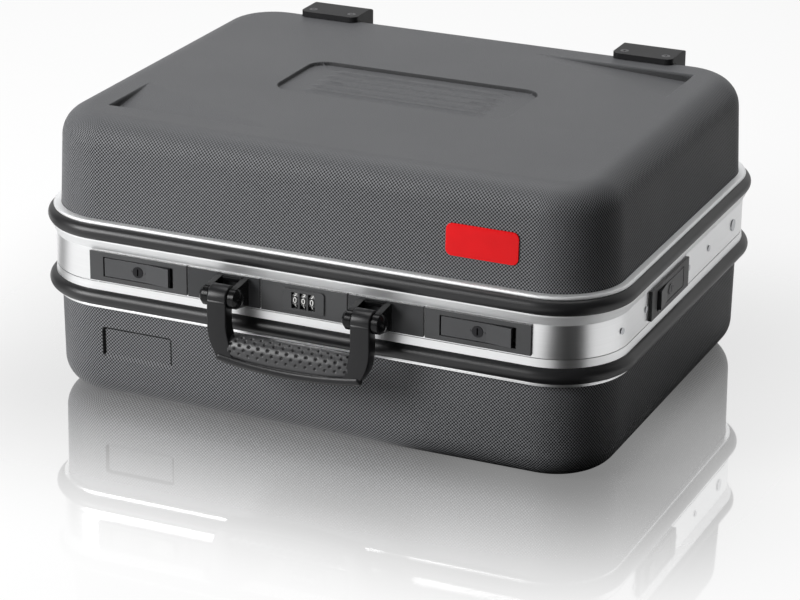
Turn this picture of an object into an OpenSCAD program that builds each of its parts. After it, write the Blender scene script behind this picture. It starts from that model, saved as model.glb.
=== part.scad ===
// Hard tool case: two textured plastic shells held in aluminium frames,
// with bumpers, rocker locks, a combination lock, a folding handle and lid stays.
// Origin: middle of the base on the floor, +X to the right, front at -Y, +Z up.

/* [Case] */
// Width over the bumpers
case_w = 490; // [420:1:560]
// Depth over the bumpers
case_d = 385; // [330:1:440]
// Corner radius over the bumpers, seen from above
corner_r = 62; // [56:1:80]
// Height of the parting line above the floor
base_h = 102; // [90:1:130]
// Height of the lid above the parting line
lid_h = 128; // [115:1:160]
// Wall thickness of both shells
shell_t = 3.2; // [2.5:0.1:4]

/* [Shells] */
// Inset of the lid wall from the bumper at its lip
lid_inset = 10.1; // [9.8:0.1:12]
// Inset of the lid wall from the bumper at its top
lid_top_inset = 14; // [13:0.1:18]
// Radius of the lid's top edge
lid_edge_r = 24; // [14:1:30]
// Inset of the base wall from the bumper at its lip
base_inset = 9.5; // [9.2:0.1:12]
// Inset of the base wall from the bumper at its bottom
base_bottom_inset = 10.8; // [9.8:0.1:14]
// Radius of the base's bottom edge
base_edge_r = 23; // [14:1:30]

/* [Lid top] */
// Length of the recessed panel on the lid
panel_w = 200; // [120:1:240]
// Width of the recessed panel on the lid
panel_d = 84; // [60:1:100]
// Corner radius of the recessed panel
panel_r = 16; // [6:1:28]
// Depth of the recessed panel
panel_depth = 2.2; // [1:0.1:3]
// Number of raised ribs in the panel
rib_count = 5; // [1:1:6]
// Width of one rib
rib_w = 5; // [3:0.5:8]
// Distance from rib to rib
rib_pitch = 13; // [10:0.5:14]
// Height of a rib above the panel's floor
rib_rise = 1.2; // [0.6:0.1:1.6]
// Length of the ribs
rib_l = 152; // [60:1:180]
// Length of a ramped corner recess along the width
ramp_x = 140; // [100:1:160]
// Length of a ramped corner recess along the depth
ramp_y = 66; // [45:1:80]
// Depth of a ramped corner recess at its corner
ramp_depth = 7; // [3:0.5:9]
// Distance of the ramped recess from the lid's side
ramp_margin_x = 52; // [50:1:60]
// Distance of the ramped recess from the lid's front or back
ramp_margin_y = 54.5; // [52:0.5:62]

/* [Frames] */
// Inset of the lid's flat band from the bumper
band_inset = 6; // [5:0.1:7]
// Thickness of the frame wall
frame_t = 2; // [1.5:0.1:2.4]
// Height of the flat band
band_h = 27; // [26.5:0.1:32]
// How far the band flares out under the lid's bumper
flare_out = 3.5; // [2:0.1:4.5]
// Height of the flare of the lid frame
flare_h = 7.3; // [5:0.1:9]
// How far the base frame flares out above its bumper
base_flare_out = 0.8; // [0.4:0.1:1]
// Height of the base frame above its bumper
base_flare_h = 6.5; // [6:0.1:9]
// Gap between the two frames
part_gap = 0.3; // [0.2:0.05:0.6]
// Height of the locating tongue above the parting line
tongue_h = 3.1; // [2:0.1:3.3]
// Thickness of the tongue
tongue_t = 1.4; // [1:0.1:1.6]
// Side clearance of the tongue in the lid's band
tongue_gap = 0.4; // [0.3:0.05:0.6]
// Radius of the lid frame's rounded lip
lip_r = 1.6; // [1:0.1:2]
// Radius of the base frame's rounded lip
base_lip_r = 1; // [0.6:0.1:1.4]

/* [Bumpers] */
// Radius of the half-round bumper strip
bumper_r = 6.5; // [5.5:0.1:7]
// Depth of the bumper's seat outside the band
bumper_seat = 0.4; // [0.2:0.1:0.8]

/* [Locks] */
// Length of a front lock plate
lock_plate_l = 86; // [80:1:90]
// Length of a side lock plate
side_plate_l = 86; // [80:1:100]
// Distance of the front locks' middles from the case's sides
front_lock_in = 103; // [100:1:106]
// Height of all plates on the band
plate_h = 24; // [23:0.5:24.5]
// Thickness of all plates on the band
plate_t = 2.5; // [2:0.1:3]
// Gap between neighbouring plates
plate_gap = 1.4; // [0.3:0.1:1.6]
// Height of the plates' lower edge above the parting line
plate_z = 2; // [1.5:0.1:2.2]
// Length of the lever recess
recess_l = 61; // [58:1:64]
// Height of the lever recess
recess_h = 16.4; // [15:0.1:16.6]
// Depth of the lock tray behind the band
tray_depth = 8; // [6:0.5:8]
// Wall of the lock tray
tray_t = 1.5; // [1:0.1:1.5]
// Clearance between the lever and its recess, above and below
lever_gap = 0.7; // [0.2:0.1:1]
// Finger gap at the lever's raised end
finger_gap = 3; // [2:0.1:5]
// Gap at the lever's flat end
lever_end_gap = 1.3; // [1:0.1:2]
// Distance of the bend from the lever's middle
bend_x = 7; // [6:0.5:9]
// How far the sloping end stands out in front of the flat end
lever_rise = 2.4; // [1:0.1:3]
// Thickness of the lever
lever_t = 4; // [3:0.1:4.5]
// Depth of the lever's pivot behind the band
pivot_depth = 3; // [2.5:0.1:3.5]
// Radius of the lever's trunnions
trunnion_r = 1.5; // [1.2:0.1:1.8]
// Radial clearance of pins and shafts in their bores
run_gap = 0.06; // [0.03:0.01:0.1]
// Radius of the key cylinder
key_r = 4.4; // [3.5:0.1:5]
// Distance of the side locks' middles from the case's front
side_lock_in = 148.5; // [140:0.5:180]
// Width of a locking hook
hook_w = 6; // [4:0.5:8]
// Height of a locking hook
hook_h = 5; // [4:0.5:6]
// Distance of the hook from the lever's middle
hook_x = 20; // [18:0.5:21]
// Thickness of a keeper
keeper_t = 2; // [1.5:0.1:2.4]
// Width of a keeper
keeper_w = 22; // [20:0.5:24]

/* [Combination lock] */
// Length of the combination lock's plate
combi_plate_l = 73; // [70:1:76]
// Length of the raised face with the windows
combi_face_l = 34.6; // [30:0.2:38]
// Height of the raised face
combi_face_h = 18; // [16:0.5:20]
// How far the face stands out from the plate
combi_face_rise = 1.2; // [0.6:0.1:1.6]
// Width of one window
window_w = 5.6; // [5:0.1:6]
// Height of one window
window_h = 13; // [11:0.5:14]
// Distance from wheel to wheel
wheel_pitch = 7; // [6.6:0.1:8]
// Radius of a number wheel
wheel_r = 8.4; // [7.6:0.1:8.6]
// Thickness of a number wheel
wheel_w = 5.2; // [4.4:0.1:5.3]
// Radius of the wheels' axle
axle_r = 1.5; // [1:0.1:2]
// Width of the crescent notch
notch_w = 2; // [1:0.1:3]

/* [Handle] */
// Distance between the handle's two arms, middle to middle
arm_pitch = 119; // [110:1:124]
// Width of one arm
arm_w = 16; // [14:0.5:20]
// Distance of the pivots in front of the band
handle_out = 22; // [14:0.5:24]
// Height of the pivots above the parting line
pivot_z = 15; // [14:0.1:16]
// Radius of the knuckle round each pivot
knuckle_r = 9.6; // [9:0.1:9.8]
// Thickness of an arm
arm_t = 12; // [8:0.5:13]
// Radius of the handle's pins
handle_pin_r = 2.5; // [2:0.1:3]
// Radius of a bracket's ears
ear_r = 8; // [7:0.1:8.6]
// Width of one ear without its dome
ear_w = 5; // [4:0.5:6]
// Height of an ear's dome
dome_h = 4.5; // [2.5:0.1:5]
// Distance from the pivots down to the underside of the grip
grip_drop = 54; // [50:1:62]
// Height of the grip
grip_h = 25; // [20:1:28]
// Depth of the grip
grip_d = 15; // [12:0.5:17]
// Inset of the soft pad from the grip's ends
pad_inset = 2; // [1:0.5:4]
// How far the soft pad stands out of the grip
pad_rise = 0.8; // [0.4:0.1:1.5]

/* [Hinges and stays] */
// Distance of the hinges' middles from the case's sides
hinge_in = 115; // [105:1:135]
// Length of one hinge
hinge_l = 60; // [50:1:70]
// Distance of the hinge pin behind the band
hinge_out = 4; // [3.8:0.1:5]
// Radius of a hinge knuckle
hinge_r = 3; // [2.6:0.1:3.2]
// Radius of a hinge pin
hinge_pin_r = 1.5; // [1.2:0.1:1.7]
// Thickness of a hinge leaf
leaf_t = 1.5; // [1.2:0.1:1.8]
// Opening angle of the lid
open_angle = 90; // [70:1:90]
// Distance of the stay stud in front of the hinge pin
stud_run = 75.5; // [72:0.5:90]
// Height of the stay stud above the parting line
stud_z = 13.5; // [12:0.5:16]
// Angle of the stay's lower pivot round the hinge, below the horizontal
stay_angle = 32; // [30:1:38]
// Thickness of a stay arm
stay_t = 2; // [1.5:0.1:2.5]
// Width of a stay arm
stay_w = 12; // [11:0.5:13]
// Radius of the stud's shank in the slot
shank_r = 3; // [2.5:0.1:3.5]
// Play of the stud in the slot
slot_gap = 0.3; // [0.2:0.05:0.4]
// Distance of the stay arms inside the band
stay_in = 22; // [21:0.5:34]

/* [Feet] */
// Distance of the stand feet's middles from the case's sides
foot_in = 103; // [95:1:125]
// Width of a stand foot
foot_w = 52; // [44:1:60]
// How far the feet reach behind the bumpers
foot_out = 2; // [1:0.5:6]
// How far a lid foot stands above the lid
foot_rise = 5; // [3:0.5:7]
// How far a lid foot reaches over the lid
foot_cover = 42; // [36:1:48]
// How far a foot reaches down the back
foot_drop = 48; // [40:1:55]
// Corner radius of a foot
foot_r = 12; // [6:1:16]

/* [Details] */
// Length of the badge
badge_w = 58; // [40:1:66]
// Height of the badge
badge_h = 25; // [18:1:34]
// Distance of the badge's middle from the case's side
badge_in = 104; // [100:1:125]
// Height of the badge's middle above the parting line
badge_z = 80; // [70:1:85]
// Length of the label recess
label_w = 61; // [50:1:70]
// Height of the label recess
label_h = 26; // [20:1:30]
// Distance of the label recess's middle from the case's side
label_in = 97; // [95:1:125]
// Height of the label recess's middle above the floor
label_z = 49.5; // [46:0.5:52]
// Depth of the label recess
label_sink = 0.8; // [0.4:0.1:1.2]

/* [Hidden] */
$fn = 96;
// How far a cut runs past the surface it cuts
cut = 1;
// Clearance of pieces that are seated on each other
seat = 0.1;
// Clearance of pieces that move past each other
pass = 0.4;
lid_top = base_h + lid_h;
front_lock_x = case_w / 2 - front_lock_in;
side_lock_y = case_d / 2 - side_lock_in;
hinge_x = case_w / 2 - hinge_in;
foot_x = case_w / 2 - foot_in;
badge_x = case_w / 2 - badge_in;
label_x = case_w / 2 - label_in;
band_w = case_w - 2 * band_inset;
band_d = case_d - 2 * band_inset;
band_r = corner_r - band_inset;
// Thickness of the webs inside the frames
web_t = 2;
// Thickness of the frame's lip behind a shell's wall
inner_lip_t = 1.7;
inner_lip_h = 8;
// Height of the frames' rounded outer lips
outer_lip_h = 2.5;
// Heights above the parting line
lid_web = band_h + flare_h;
lid_bumper_z = lid_web + bumper_r;
lid_lip_bottom = lid_bumper_z + bumper_r;
lid_lip_top = lid_lip_bottom + outer_lip_h;
lid_inner_lip = lid_web + web_t + inner_lip_h;
shell_lip = lid_web + web_t + seat;
// Depths below the parting line
base_bumper_z = base_flare_h + bumper_r;
base_lip_top = base_bumper_z + bumper_r;
base_lip_bottom = base_lip_top + outer_lip_h;
base_inner_lip = base_flare_h + web_t + inner_lip_h;
base_shell_lip = base_flare_h + web_t + seat;
// Slope of the shell walls
lid_wall_h = lid_h - shell_lip;
base_wall_h = base_h - base_shell_lip;
lid_draft = atan((lid_top_inset - lid_inset) / lid_wall_h);
base_draft = atan((base_bottom_inset - base_inset) / base_wall_h);
// Outer faces of the frames' inner lips, which follow the shells' sloping walls
lid_inner_o = band_inset - lid_inset - shell_t / cos(lid_draft) - seat
  - (lid_inner_lip - shell_lip) * tan(lid_draft);
base_inner_o = band_inset - base_inset - shell_t / cos(base_draft) - seat
  - (base_inner_lip - base_shell_lip) * tan(base_draft);
label_inset = base_inset + (base_h - base_shell_lip - label_z) * tan(base_draft);
// Places on the front band
plate_mid = plate_z + plate_h / 2;
tray_l = recess_l + 2 * tray_t;
tray_h = recess_h + 2 * tray_t;
lever_h = recess_h - 2 * lever_gap;
boss_r = 4.5;
key_depth = 1;
key_rise = 0.4;
bracket_in = combi_plate_l / 2;
bracket_out = front_lock_x - lock_plate_l / 2;
// The hook travels sideways while it turns, so its openings lie off centre
hook_shift = 1;
hook_play = 1.7;
hook_reach = 1.1;
keeper_in = tray_depth + tray_t + 2;
keeper_rise = 6;
keeper_top = plate_mid + keeper_rise;
keeper_foot_h = 8;
keeper_rivet_x = 7;
// Combination lock
wheel_depth = 5;
wheel_room = 0.5;
hub_r = 3;
body_wall = 1.2;
body_l = 3 * wheel_pitch + 2.4;
body_h = 2 * (wheel_r + wheel_room + body_wall);
body_depth = wheel_depth + wheel_r + wheel_room + body_wall;
// Handle
ear_gap = 0.4;
dome_step = 0.4;
arm_out = handle_out + knuckle_r;
grip_top = pivot_z - grip_drop + grip_h;
grip_bottom = pivot_z - grip_drop;
grip_r = 5.5;
pad_bottom = 9.5;
handle_side_r = 42;
handle_side_h = 33;
grip_sag = 9;
// Hinges and stays
hinge_y = band_d / 2 + hinge_out;
stay_x = band_w / 2 - stay_in;
stud_y = hinge_y - stud_run;
seg_l = hinge_l / 5;
leaf_h = 20;
stay_radius = norm([stud_run, stud_z]);
stay_y = hinge_y - stay_radius * cos(stay_angle);
stay_z = -stay_radius * sin(stay_angle);
stay_lean = atan2(stay_y - stud_y, stud_z - stay_z);
stay_near = norm([stay_y - stud_y, stud_z - stay_z]);
stud_angle = atan2(stud_z, stud_run);
stay_far = 2 * stay_radius * sin((stud_angle + stay_angle + open_angle) / 2);
stay_slot_r = shank_r + slot_gap;
stay_wall_x = case_w / 2 - base_inset - shell_t
  - (-stay_z - base_shell_lip) * tan(base_draft);
// Feet
foot_top = lid_top + foot_rise;
foot_back = case_d / 2 + foot_out;
foot_front = foot_back - foot_cover;
screw_in = 10;
screw_pitch = 36;
screw_r = 1.9;
head_r = 3.6;
head_h = 1.6;
rivet_r = 1.5;
rivet_head_r = 2.6;
rivet_head_t = 0.7;
// Badge and label recess
badge_t = 1.2;
badge_r = 5;
label_r = 3;
// Screws and feet of the base
base_foot_top = 53;
base_foot_lift = 0.6;
base_foot_under = 24;
base_foot_front = foot_back - base_foot_under;
base_screw_z = 40;
base_screw_l = 20;
lid_screw_l = 11;
// Seats and shafts of the fittings
keeper_seat = inner_lip_t - base_inner_o;
post_r = 4;
flange_r = 5;
flange_t = 1.5;
// Straight distance from a ramp's corner to its level line
ramp_run = ramp_x * ramp_y / norm([ramp_x, ramp_y]);
pocket = 1.4;
notch_arc_r = 12;
hook_root = 2;
handle_pin_l = arm_w + 2 * ear_gap + 2 * (ear_w - 1);
side_rivet_near = 49;
side_rivet_far = 98;

// Colours
plastic = [0.17, 0.17, 0.18];
metal = [0.82, 0.83, 0.84];
steel = [0.62, 0.63, 0.65];
rubber = [0.08, 0.08, 0.08];
dark = [0.22, 0.22, 0.23];

// Sweeps a profile round a rounded rectangle; its x is outward, its y is up
module ring(w, d, r) {
  for (side = [0:3]) {
    across = side % 2 == 0 ? w : d;
    along = side % 2 == 0 ? d : w;
    rotate([0, 0, side * 90])
      translate([across / 2, 0, 0])
        rotate([90, 0, 0])
          linear_extrude(along - 2 * r, center = true)
            children();
    rotate([0, 0, side * 90])
      translate([across / 2 - r, along / 2 - r, 0])
        rotate_extrude(angle = 90)
          translate([r, 0])
            children();
  }
}

// A rectangle with rounded corners, centred
module rounded_rect(w, h, r) {
  square([w - 2 * r, h], center = true);
  square([w, h - 2 * r], center = true);
  for (x = [-1, 1])
    for (y = [-1, 1])
      translate([x * (w / 2 - r), y * (h / 2 - r)])
        circle(r);
}

// A profile drawn in (y, z), extruded along X about the middle
module along_x(length) {
  rotate([90, 0, 90])
    linear_extrude(length, center = true)
      children();
}

// Both mirror images of what is on the right
module both_sides() {
  children();
  mirror([1, 0, 0])
    children();
}

// Outline of a shell from its lip up to its closed end, out to the wall
module shell_profile(lip_inset, end_inset, height, edge_r, draft, grow, low) {
  arc_x = -end_inset + edge_r * tan(draft) - edge_r / cos(draft);
  arc_y = height - edge_r;
  r = edge_r + grow;
  lip_x = -lip_inset + grow / cos(draft);
  polygon([[-corner_r, -low],
    [lip_x + low * tan(draft), -low],
    [arc_x + r * cos(draft), arc_y + r * sin(draft)],
    [arc_x, arc_y + r],
    [-corner_r, arc_y + r]]);
  intersection() {
    translate([arc_x, arc_y])
      circle(r);
    translate([arc_x, arc_y])
      square(r);
  }
}

module lid_profile(grow, low) {
  shell_profile(lid_inset, lid_top_inset, lid_wall_h, lid_edge_r, lid_draft, grow, low);
}

module base_profile(grow, low) {
  shell_profile(base_inset, base_bottom_inset, base_wall_h, base_edge_r, base_draft, grow, low);
}

// The closed end of a shell between its corners
module shell_end(height) {
  translate([0, 0, height - shell_t / 2])
    cube([case_w - 2 * corner_r, case_d - 2 * corner_r, shell_t], center = true);
}

// Places a lock: x runs to the lever's raised end, -y outward, z up
module at_front_right() {
  translate([front_lock_x, -band_d / 2, base_h + plate_mid])
    children();
}

module at_front_left() {
  translate([-front_lock_x, -band_d / 2, base_h + plate_mid])
    children();
}

module at_right() {
  translate([band_w / 2, -side_lock_y, base_h + plate_mid])
    rotate([0, 0, 90])
      mirror([1, 0, 0])
        children();
}

module at_left() {
  mirror([1, 0, 0])
    at_right()
      children();
}

module at_locks() {
  at_front_right()
    children();
  at_front_left()
    children();
  at_right()
    children();
  at_left()
    children();
}

// Places a hinge: y runs outward from the rear band, z up from the parting line
module at_hinges() {
  for (side = [-1, 1])
    translate([side * hinge_x, band_d / 2, base_h])
      children();
}

// A rivet along y from its head at y = 0 to its other end, with a closing head there
module rivet(r, length, head_r, closing) {
  rotate([-90, 0, 0])
    cylinder(r = r, h = length);
  translate([0, -rivet_head_t, 0])
    rotate([-90, 0, 0])
      cylinder(r = head_r, h = rivet_head_t);
  if (closing)
    translate([0, length, 0])
      rotate([-90, 0, 0])
        cylinder(r = head_r, h = rivet_head_t);
}

// ---- Base ----

module foot_block(front, back, low, high, r) {
  translate([front, low])
    square([back - r - front, high - low]);
  translate([front, low])
    square([back - front, high - low - r]);
  translate([back - r, high - r])
    circle(r);
}

module base_shell() {
  color(plastic)
    difference() {
      translate([0, 0, base_h - base_shell_lip])
        mirror([0, 0, 1]) {
          ring(case_w, case_d, corner_r)
            difference() {
              base_profile(0, 0);
              base_profile(-shell_t, cut);
            }
          shell_end(base_wall_h);
        }
      translate([-label_x, -case_d / 2 + label_inset + label_sink, label_z])
        rotate([90 + base_draft, 0, 0])
          linear_extrude(label_sink + cut)
            rounded_rect(label_w, label_h, label_r);
      base_screw_holes();
    }
}

module base_frame_profile() {
  shell_o = band_inset - base_inset;
  difference() {
    union() {
      polygon([[-frame_t - tongue_gap - tongue_t, -part_gap], [0, -part_gap],
        [base_flare_out, -base_flare_h],
        [base_flare_out, -base_flare_h - web_t],
        [base_inner_o - inner_lip_t, -base_flare_h - web_t],
        [base_inner_o - inner_lip_t, -base_flare_h],
        [-frame_t - tongue_gap - tongue_t, -base_flare_h]]);
      translate([-frame_t - tongue_gap - tongue_t, -part_gap - cut])
        square([tongue_t, tongue_h + part_gap + cut]);
      translate([-frame_t - seat, -base_lip_bottom])
        square([frame_t, base_lip_bottom - base_flare_h]);
      translate([base_inner_o - inner_lip_t, -base_inner_lip])
        square([inner_lip_t, base_inner_lip - base_flare_h]);
      translate([shell_o + seat, -base_lip_bottom])
        square([-shell_o - seat - base_lip_r, base_lip_bottom - base_lip_top]);
      translate([-base_lip_r, -base_lip_bottom + base_lip_r])
        circle(base_lip_r);
    }
    intersection() {
      translate([-bumper_seat, -base_bumper_z])
        circle(bumper_r + seat);
      translate([-seat - bumper_seat, -base_bumper_z - bumper_r - cut])
        square([bumper_r + cut, 2 * (bumper_r + cut)]);
    }
  }
}

module base_frame() {
  color(metal)
    difference() {
      translate([0, 0, base_h])
        ring(band_w, band_d, band_r)
          base_frame_profile();
      keeper_rivet_shanks();
      at_hinges()
        base_hinge_rivets();
    }
}

module bumper_profile() {
  intersection() {
    circle(bumper_r);
    translate([0, -bumper_r])
      square([bumper_r, 2 * bumper_r]);
  }
}

module base_bumper() {
  color(rubber)
    translate([0, 0, base_h - base_bumper_z])
      ring(band_w, band_d, band_r)
        translate([-bumper_seat, 0])
          bumper_profile();
}

// Rear feet of the base, below the bumper
module base_feet() {
  color(plastic)
    for (side = [-1, 1])
      translate([side * foot_x, 0, 0])
        difference() {
          along_x(foot_w)
            difference() {
              translate([0, base_foot_top])
                mirror([0, 1])
                  foot_block(base_foot_front, foot_back, 0, base_foot_top - base_foot_lift, foot_r);
              translate([case_d / 2, base_h - base_shell_lip])
                mirror([0, 1])
                  base_profile(seat, cut);
            }
          for (x = [-1, 1])
            translate([x * screw_pitch / 2, foot_back + cut, base_screw_z])
              rotate([90, 0, 0]) {
                cylinder(r = head_r + seat, h = head_h + cut);
                cylinder(r = screw_r, h = foot_cover);
              }
        }
}

module base_screw_holes() {
  for (side = [-1, 1])
    for (x = [-1, 1])
      translate([side * foot_x + x * screw_pitch / 2, foot_back, base_screw_z])
        rotate([90, 0, 0])
          cylinder(r = screw_r, h = foot_cover);
}

module base_foot_screws() {
  color(steel)
    for (side = [-1, 1])
      for (x = [-1, 1])
        translate([side * foot_x + x * screw_pitch / 2, foot_back, base_screw_z])
          rotate([90, 0, 0])
            screw(base_screw_l);
}

// A screw pointing up, its slotted head at the bottom
module screw(length) {
  difference() {
    union() {
      cylinder(r = head_r, h = head_h);
      cylinder(r = screw_r, h = length);
    }
    for (turn = [0, 90])
      rotate([0, 0, turn])
        translate([-head_r / 2, -0.4, -cut])
          cube([head_r, 0.8, cut + 0.8]);
  }
}

// A plate on the base frame with a window for the lock's hook
module keeper() {
  color(steel)
    translate([-hook_x + hook_shift, 0, 0])
      difference() {
        union() {
          translate([-keeper_w / 2, keeper_in, -plate_mid - base_inner_lip])
            cube([keeper_w, keeper_t, keeper_top + base_inner_lip]);
          translate([-keeper_w / 2, keeper_seat, -plate_mid - base_inner_lip])
            cube([keeper_w, keeper_in - keeper_seat, keeper_foot_h]);
        }
        cube([hook_w + 2 * hook_play + 1, 2 * (keeper_in + keeper_t + cut), hook_h + 2], center = true);
        keeper_rivet_holes();
      }
}

module keeper_rivet_holes() {
  for (x = [-1, 1])
    translate([x * keeper_rivet_x, 0, -plate_mid - base_inner_lip + keeper_foot_h / 2])
      rotate([-90, 0, 0])
        cylinder(r = rivet_r, h = keeper_in + keeper_t + cut);
}

module keeper_rivet_shanks() {
  at_locks()
    translate([-hook_x + hook_shift, keeper_seat - inner_lip_t - 0.5, 0])
      for (x = [-1, 1])
        translate([x * keeper_rivet_x, 0, -plate_mid - base_inner_lip + keeper_foot_h / 2])
          rotate([-90, 0, 0])
            cylinder(r = rivet_r, h = inner_lip_t + 1);
}

module keeper_front_left() {
  at_front_left()
    keeper();
}

module keeper_front_right() {
  at_front_right()
    keeper();
}

module keeper_left() {
  at_left()
    keeper();
}

module keeper_right() {
  at_right()
    keeper();
}

module keeper_rivets() {
  color(steel)
    at_locks()
      for (x = [-1, 1])
        translate([-hook_x + hook_shift + x * keeper_rivet_x, keeper_in + keeper_t,
          -plate_mid - base_inner_lip + keeper_foot_h / 2])
          mirror([0, 1, 0])
            rivet(rivet_r, keeper_in + keeper_t - keeper_seat + inner_lip_t, rivet_head_r, false);
}

// The base's half of a hinge: leaf under the pin and every other knuckle
module hinge_base_leaves() {
  color(steel)
    at_hinges()
      difference() {
        union() {
          difference() {
            along_x(hinge_l)
              polygon([[seat, -0.5], [seat + base_flare_out, -base_flare_h + 0.3],
                [base_flare_out + leaf_t + 0.3, -base_flare_h + 0.3],
                [base_flare_out + leaf_t + 0.3, -0.5]]);
            for (seg = [-1, 1])
              translate([seg * seg_l, 0, 0])
                along_x(seg_l + pass)
                  translate([hinge_out, 0])
                    circle(hinge_r + pass);
          }
          for (seg = [-2, 0, 2])
            translate([seg * seg_l, 0, 0])
              along_x(seg_l - pass) {
                translate([hinge_out, 0])
                  circle(hinge_r);
                translate([base_flare_out + 0.5, -hinge_r])
                  square([hinge_out - base_flare_out - 0.5, hinge_r - 0.5]);
              }
        }
        pin_bore(hinge_pin_r);
        base_hinge_rivets();
      }
}

module pin_bore(r) {
  translate([0, hinge_out, 0])
    rotate([0, 90, 0])
      cylinder(r = r, h = hinge_l + 2 * cut, center = true);
}

module hinge_pins() {
  color(steel)
    at_hinges()
      translate([0, hinge_out, 0])
        rotate([0, 90, 0])
          cylinder(r = hinge_pin_r, h = hinge_l, center = true);
}

module base_hinge_rivets() {
  for (seg = [-2, 0, 2])
    translate([seg * seg_l, base_flare_out + leaf_t + 0.3, -base_flare_h / 2 - 1.3])
      mirror([0, 1, 0])
        rivet(1, base_flare_out + leaf_t + 0.3 + frame_t + tongue_gap + tongue_t, 1.5, true);
}

module hinge_base_rivets() {
  color(steel)
    at_hinges()
      base_hinge_rivets();
}

// Pivots of the stay arms on the base's side walls
module stay_posts() {
  color(steel)
    both_sides()
      translate([0, stay_y, base_h + stay_z]) {
        intersection() {
          rotate([0, 90, 0])
            cylinder(r = post_r, h = case_w / 2);
          translate([stay_x + stay_t / 2 + seat, -post_r, -post_r])
            cube([stay_wall_x - stay_x - stay_t / 2 - seat - 0.2, 2 * post_r, 2 * post_r]);
        }
        translate([stay_wall_x - 0.02, 0, 0])
          rotate([0, base_draft - 90, 0])
            cylinder(r = flange_r, h = flange_t);
        translate([stay_x - stay_t / 2 - 0.3 - flange_t, 0, 0])
          rotate([0, 90, 0]) {
            cylinder(r = flange_r, h = flange_t);
            cylinder(r = shank_r, h = stay_t + flange_t + 1);
          }
      }
}

// ---- Lid ----

// The sloping wedge of a ramped recess, its corner towards the lid's corner
module ramps() {
  for (turn = [0, 180])
    rotate([0, 0, turn])
      translate([-case_w / 2 + ramp_margin_x, -case_d / 2 + ramp_margin_y, lid_top])
        children();
}

module ramp_wedge(grow, profile_top) {
  slope = ramp_depth / ramp_run;
  reach = ramp_run + 2 * grow + 2;
  intersection() {
    translate([0, 0, -2 * ramp_depth])
      linear_extrude(3 * ramp_depth)
        polygon([[-grow, -grow], [1.5 * ramp_x, -grow], [-grow, 1.5 * ramp_y]]);
    translate([ramp_x, 0, 0])
      rotate([0, 0, atan2(ramp_y, -ramp_x)])
        along_x(4 * ramp_x)
          polygon([[0, -grow], [reach, -grow - slope * reach], [reach, profile_top], [0, profile_top]]);
  }
}

module lid_shell() {
  color(plastic)
    difference() {
      union() {
        translate([0, 0, base_h + shell_lip]) {
          ring(case_w, case_d, corner_r)
            difference() {
              lid_profile(0, 0);
              lid_profile(-shell_t, cut);
            }
          shell_end(lid_wall_h);
        }
        ramps()
          ramp_wedge(shell_t, -shell_t);
        translate([0, 0, lid_top - shell_t - panel_depth])
          linear_extrude(panel_depth)
            rounded_rect(panel_w + 2 * shell_t, panel_d + 2 * shell_t, panel_r + shell_t);
      }
      ramps()
        ramp_wedge(0, cut);
      difference() {
        translate([0, 0, lid_top - panel_depth])
          linear_extrude(panel_depth + cut)
            rounded_rect(panel_w, panel_d, panel_r);
        for (i = [0:rib_count - 1])
          translate([-rib_l / 2, (i - (rib_count - 1) / 2) * rib_pitch - rib_w / 2, lid_top - panel_depth - cut])
            cube([rib_l, rib_w, rib_rise + cut]);
      }
      lid_screw_holes();
    }
}

module lid_frame_profile() {
  shell_o = band_inset - lid_inset;
  lip_o = shell_o - (lid_lip_bottom - shell_lip) * tan(lid_draft);
  difference() {
    union() {
      translate([-frame_t, part_gap])
        square([frame_t, band_h - part_gap]);
      polygon([[-frame_t, band_h], [0, band_h], [flare_out, lid_web],
        [flare_out, lid_web + web_t],
        [lid_inner_o - inner_lip_t, lid_web + web_t],
        [lid_inner_o - inner_lip_t, lid_web],
        [flare_out - frame_t - 0.6, lid_web]]);
      translate([-frame_t - seat, lid_web])
        square([frame_t, lid_lip_top - lid_web]);
      translate([lid_inner_o - inner_lip_t, lid_web])
        square([inner_lip_t, lid_inner_lip - lid_web]);
      translate([lip_o + seat, lid_lip_bottom])
        square([-lip_o - seat, lid_lip_top - lid_lip_bottom]);
      translate([0, lid_lip_top - lip_r])
        circle(lip_r);
    }
    intersection() {
      translate([-bumper_seat, lid_bumper_z])
        circle(bumper_r + seat);
      translate([-seat - bumper_seat, lid_bumper_z - bumper_r - cut])
        square([bumper_r + cut, 2 * (bumper_r + cut)]);
    }
  }
}

module lid_frame() {
  color(metal)
    difference() {
      translate([0, 0, base_h])
        ring(band_w, band_d, band_r)
          lid_frame_profile();
      at_locks()
        cube([tray_l + 2 * seat, 2 * tray_depth, tray_h + 2 * seat], center = true);
      translate([0, -band_d / 2, base_h + plate_mid])
        cube([body_l + 2 * seat, 2 * tray_depth, body_h + 2 * seat], center = true);
      at_side_rivets()
        translate([0, -cut, 0])
          rotate([-90, 0, 0])
            cylinder(r = rivet_r, h = frame_t + 2 * cut);
      at_studs()
        translate([0, -cut, 0])
          rotate([-90, 0, 0])
            cylinder(r = shank_r, h = frame_t + 2 * cut);
      at_hinges()
        lid_hinge_rivets();
    }
}

module lid_bumper() {
  color(rubber)
    translate([0, 0, base_h + lid_bumper_z])
      ring(band_w, band_d, band_r)
        translate([-bumper_seat, 0])
          bumper_profile();
}

module lid_screw_holes() {
  for (side = [-1, 1])
    for (x = [-1, 1])
      translate([side * foot_x + x * screw_pitch / 2, foot_front + screw_in, foot_top - lid_screw_l - cut])
        cylinder(r = screw_r, h = lid_screw_l + 2 * cut);
}

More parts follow.
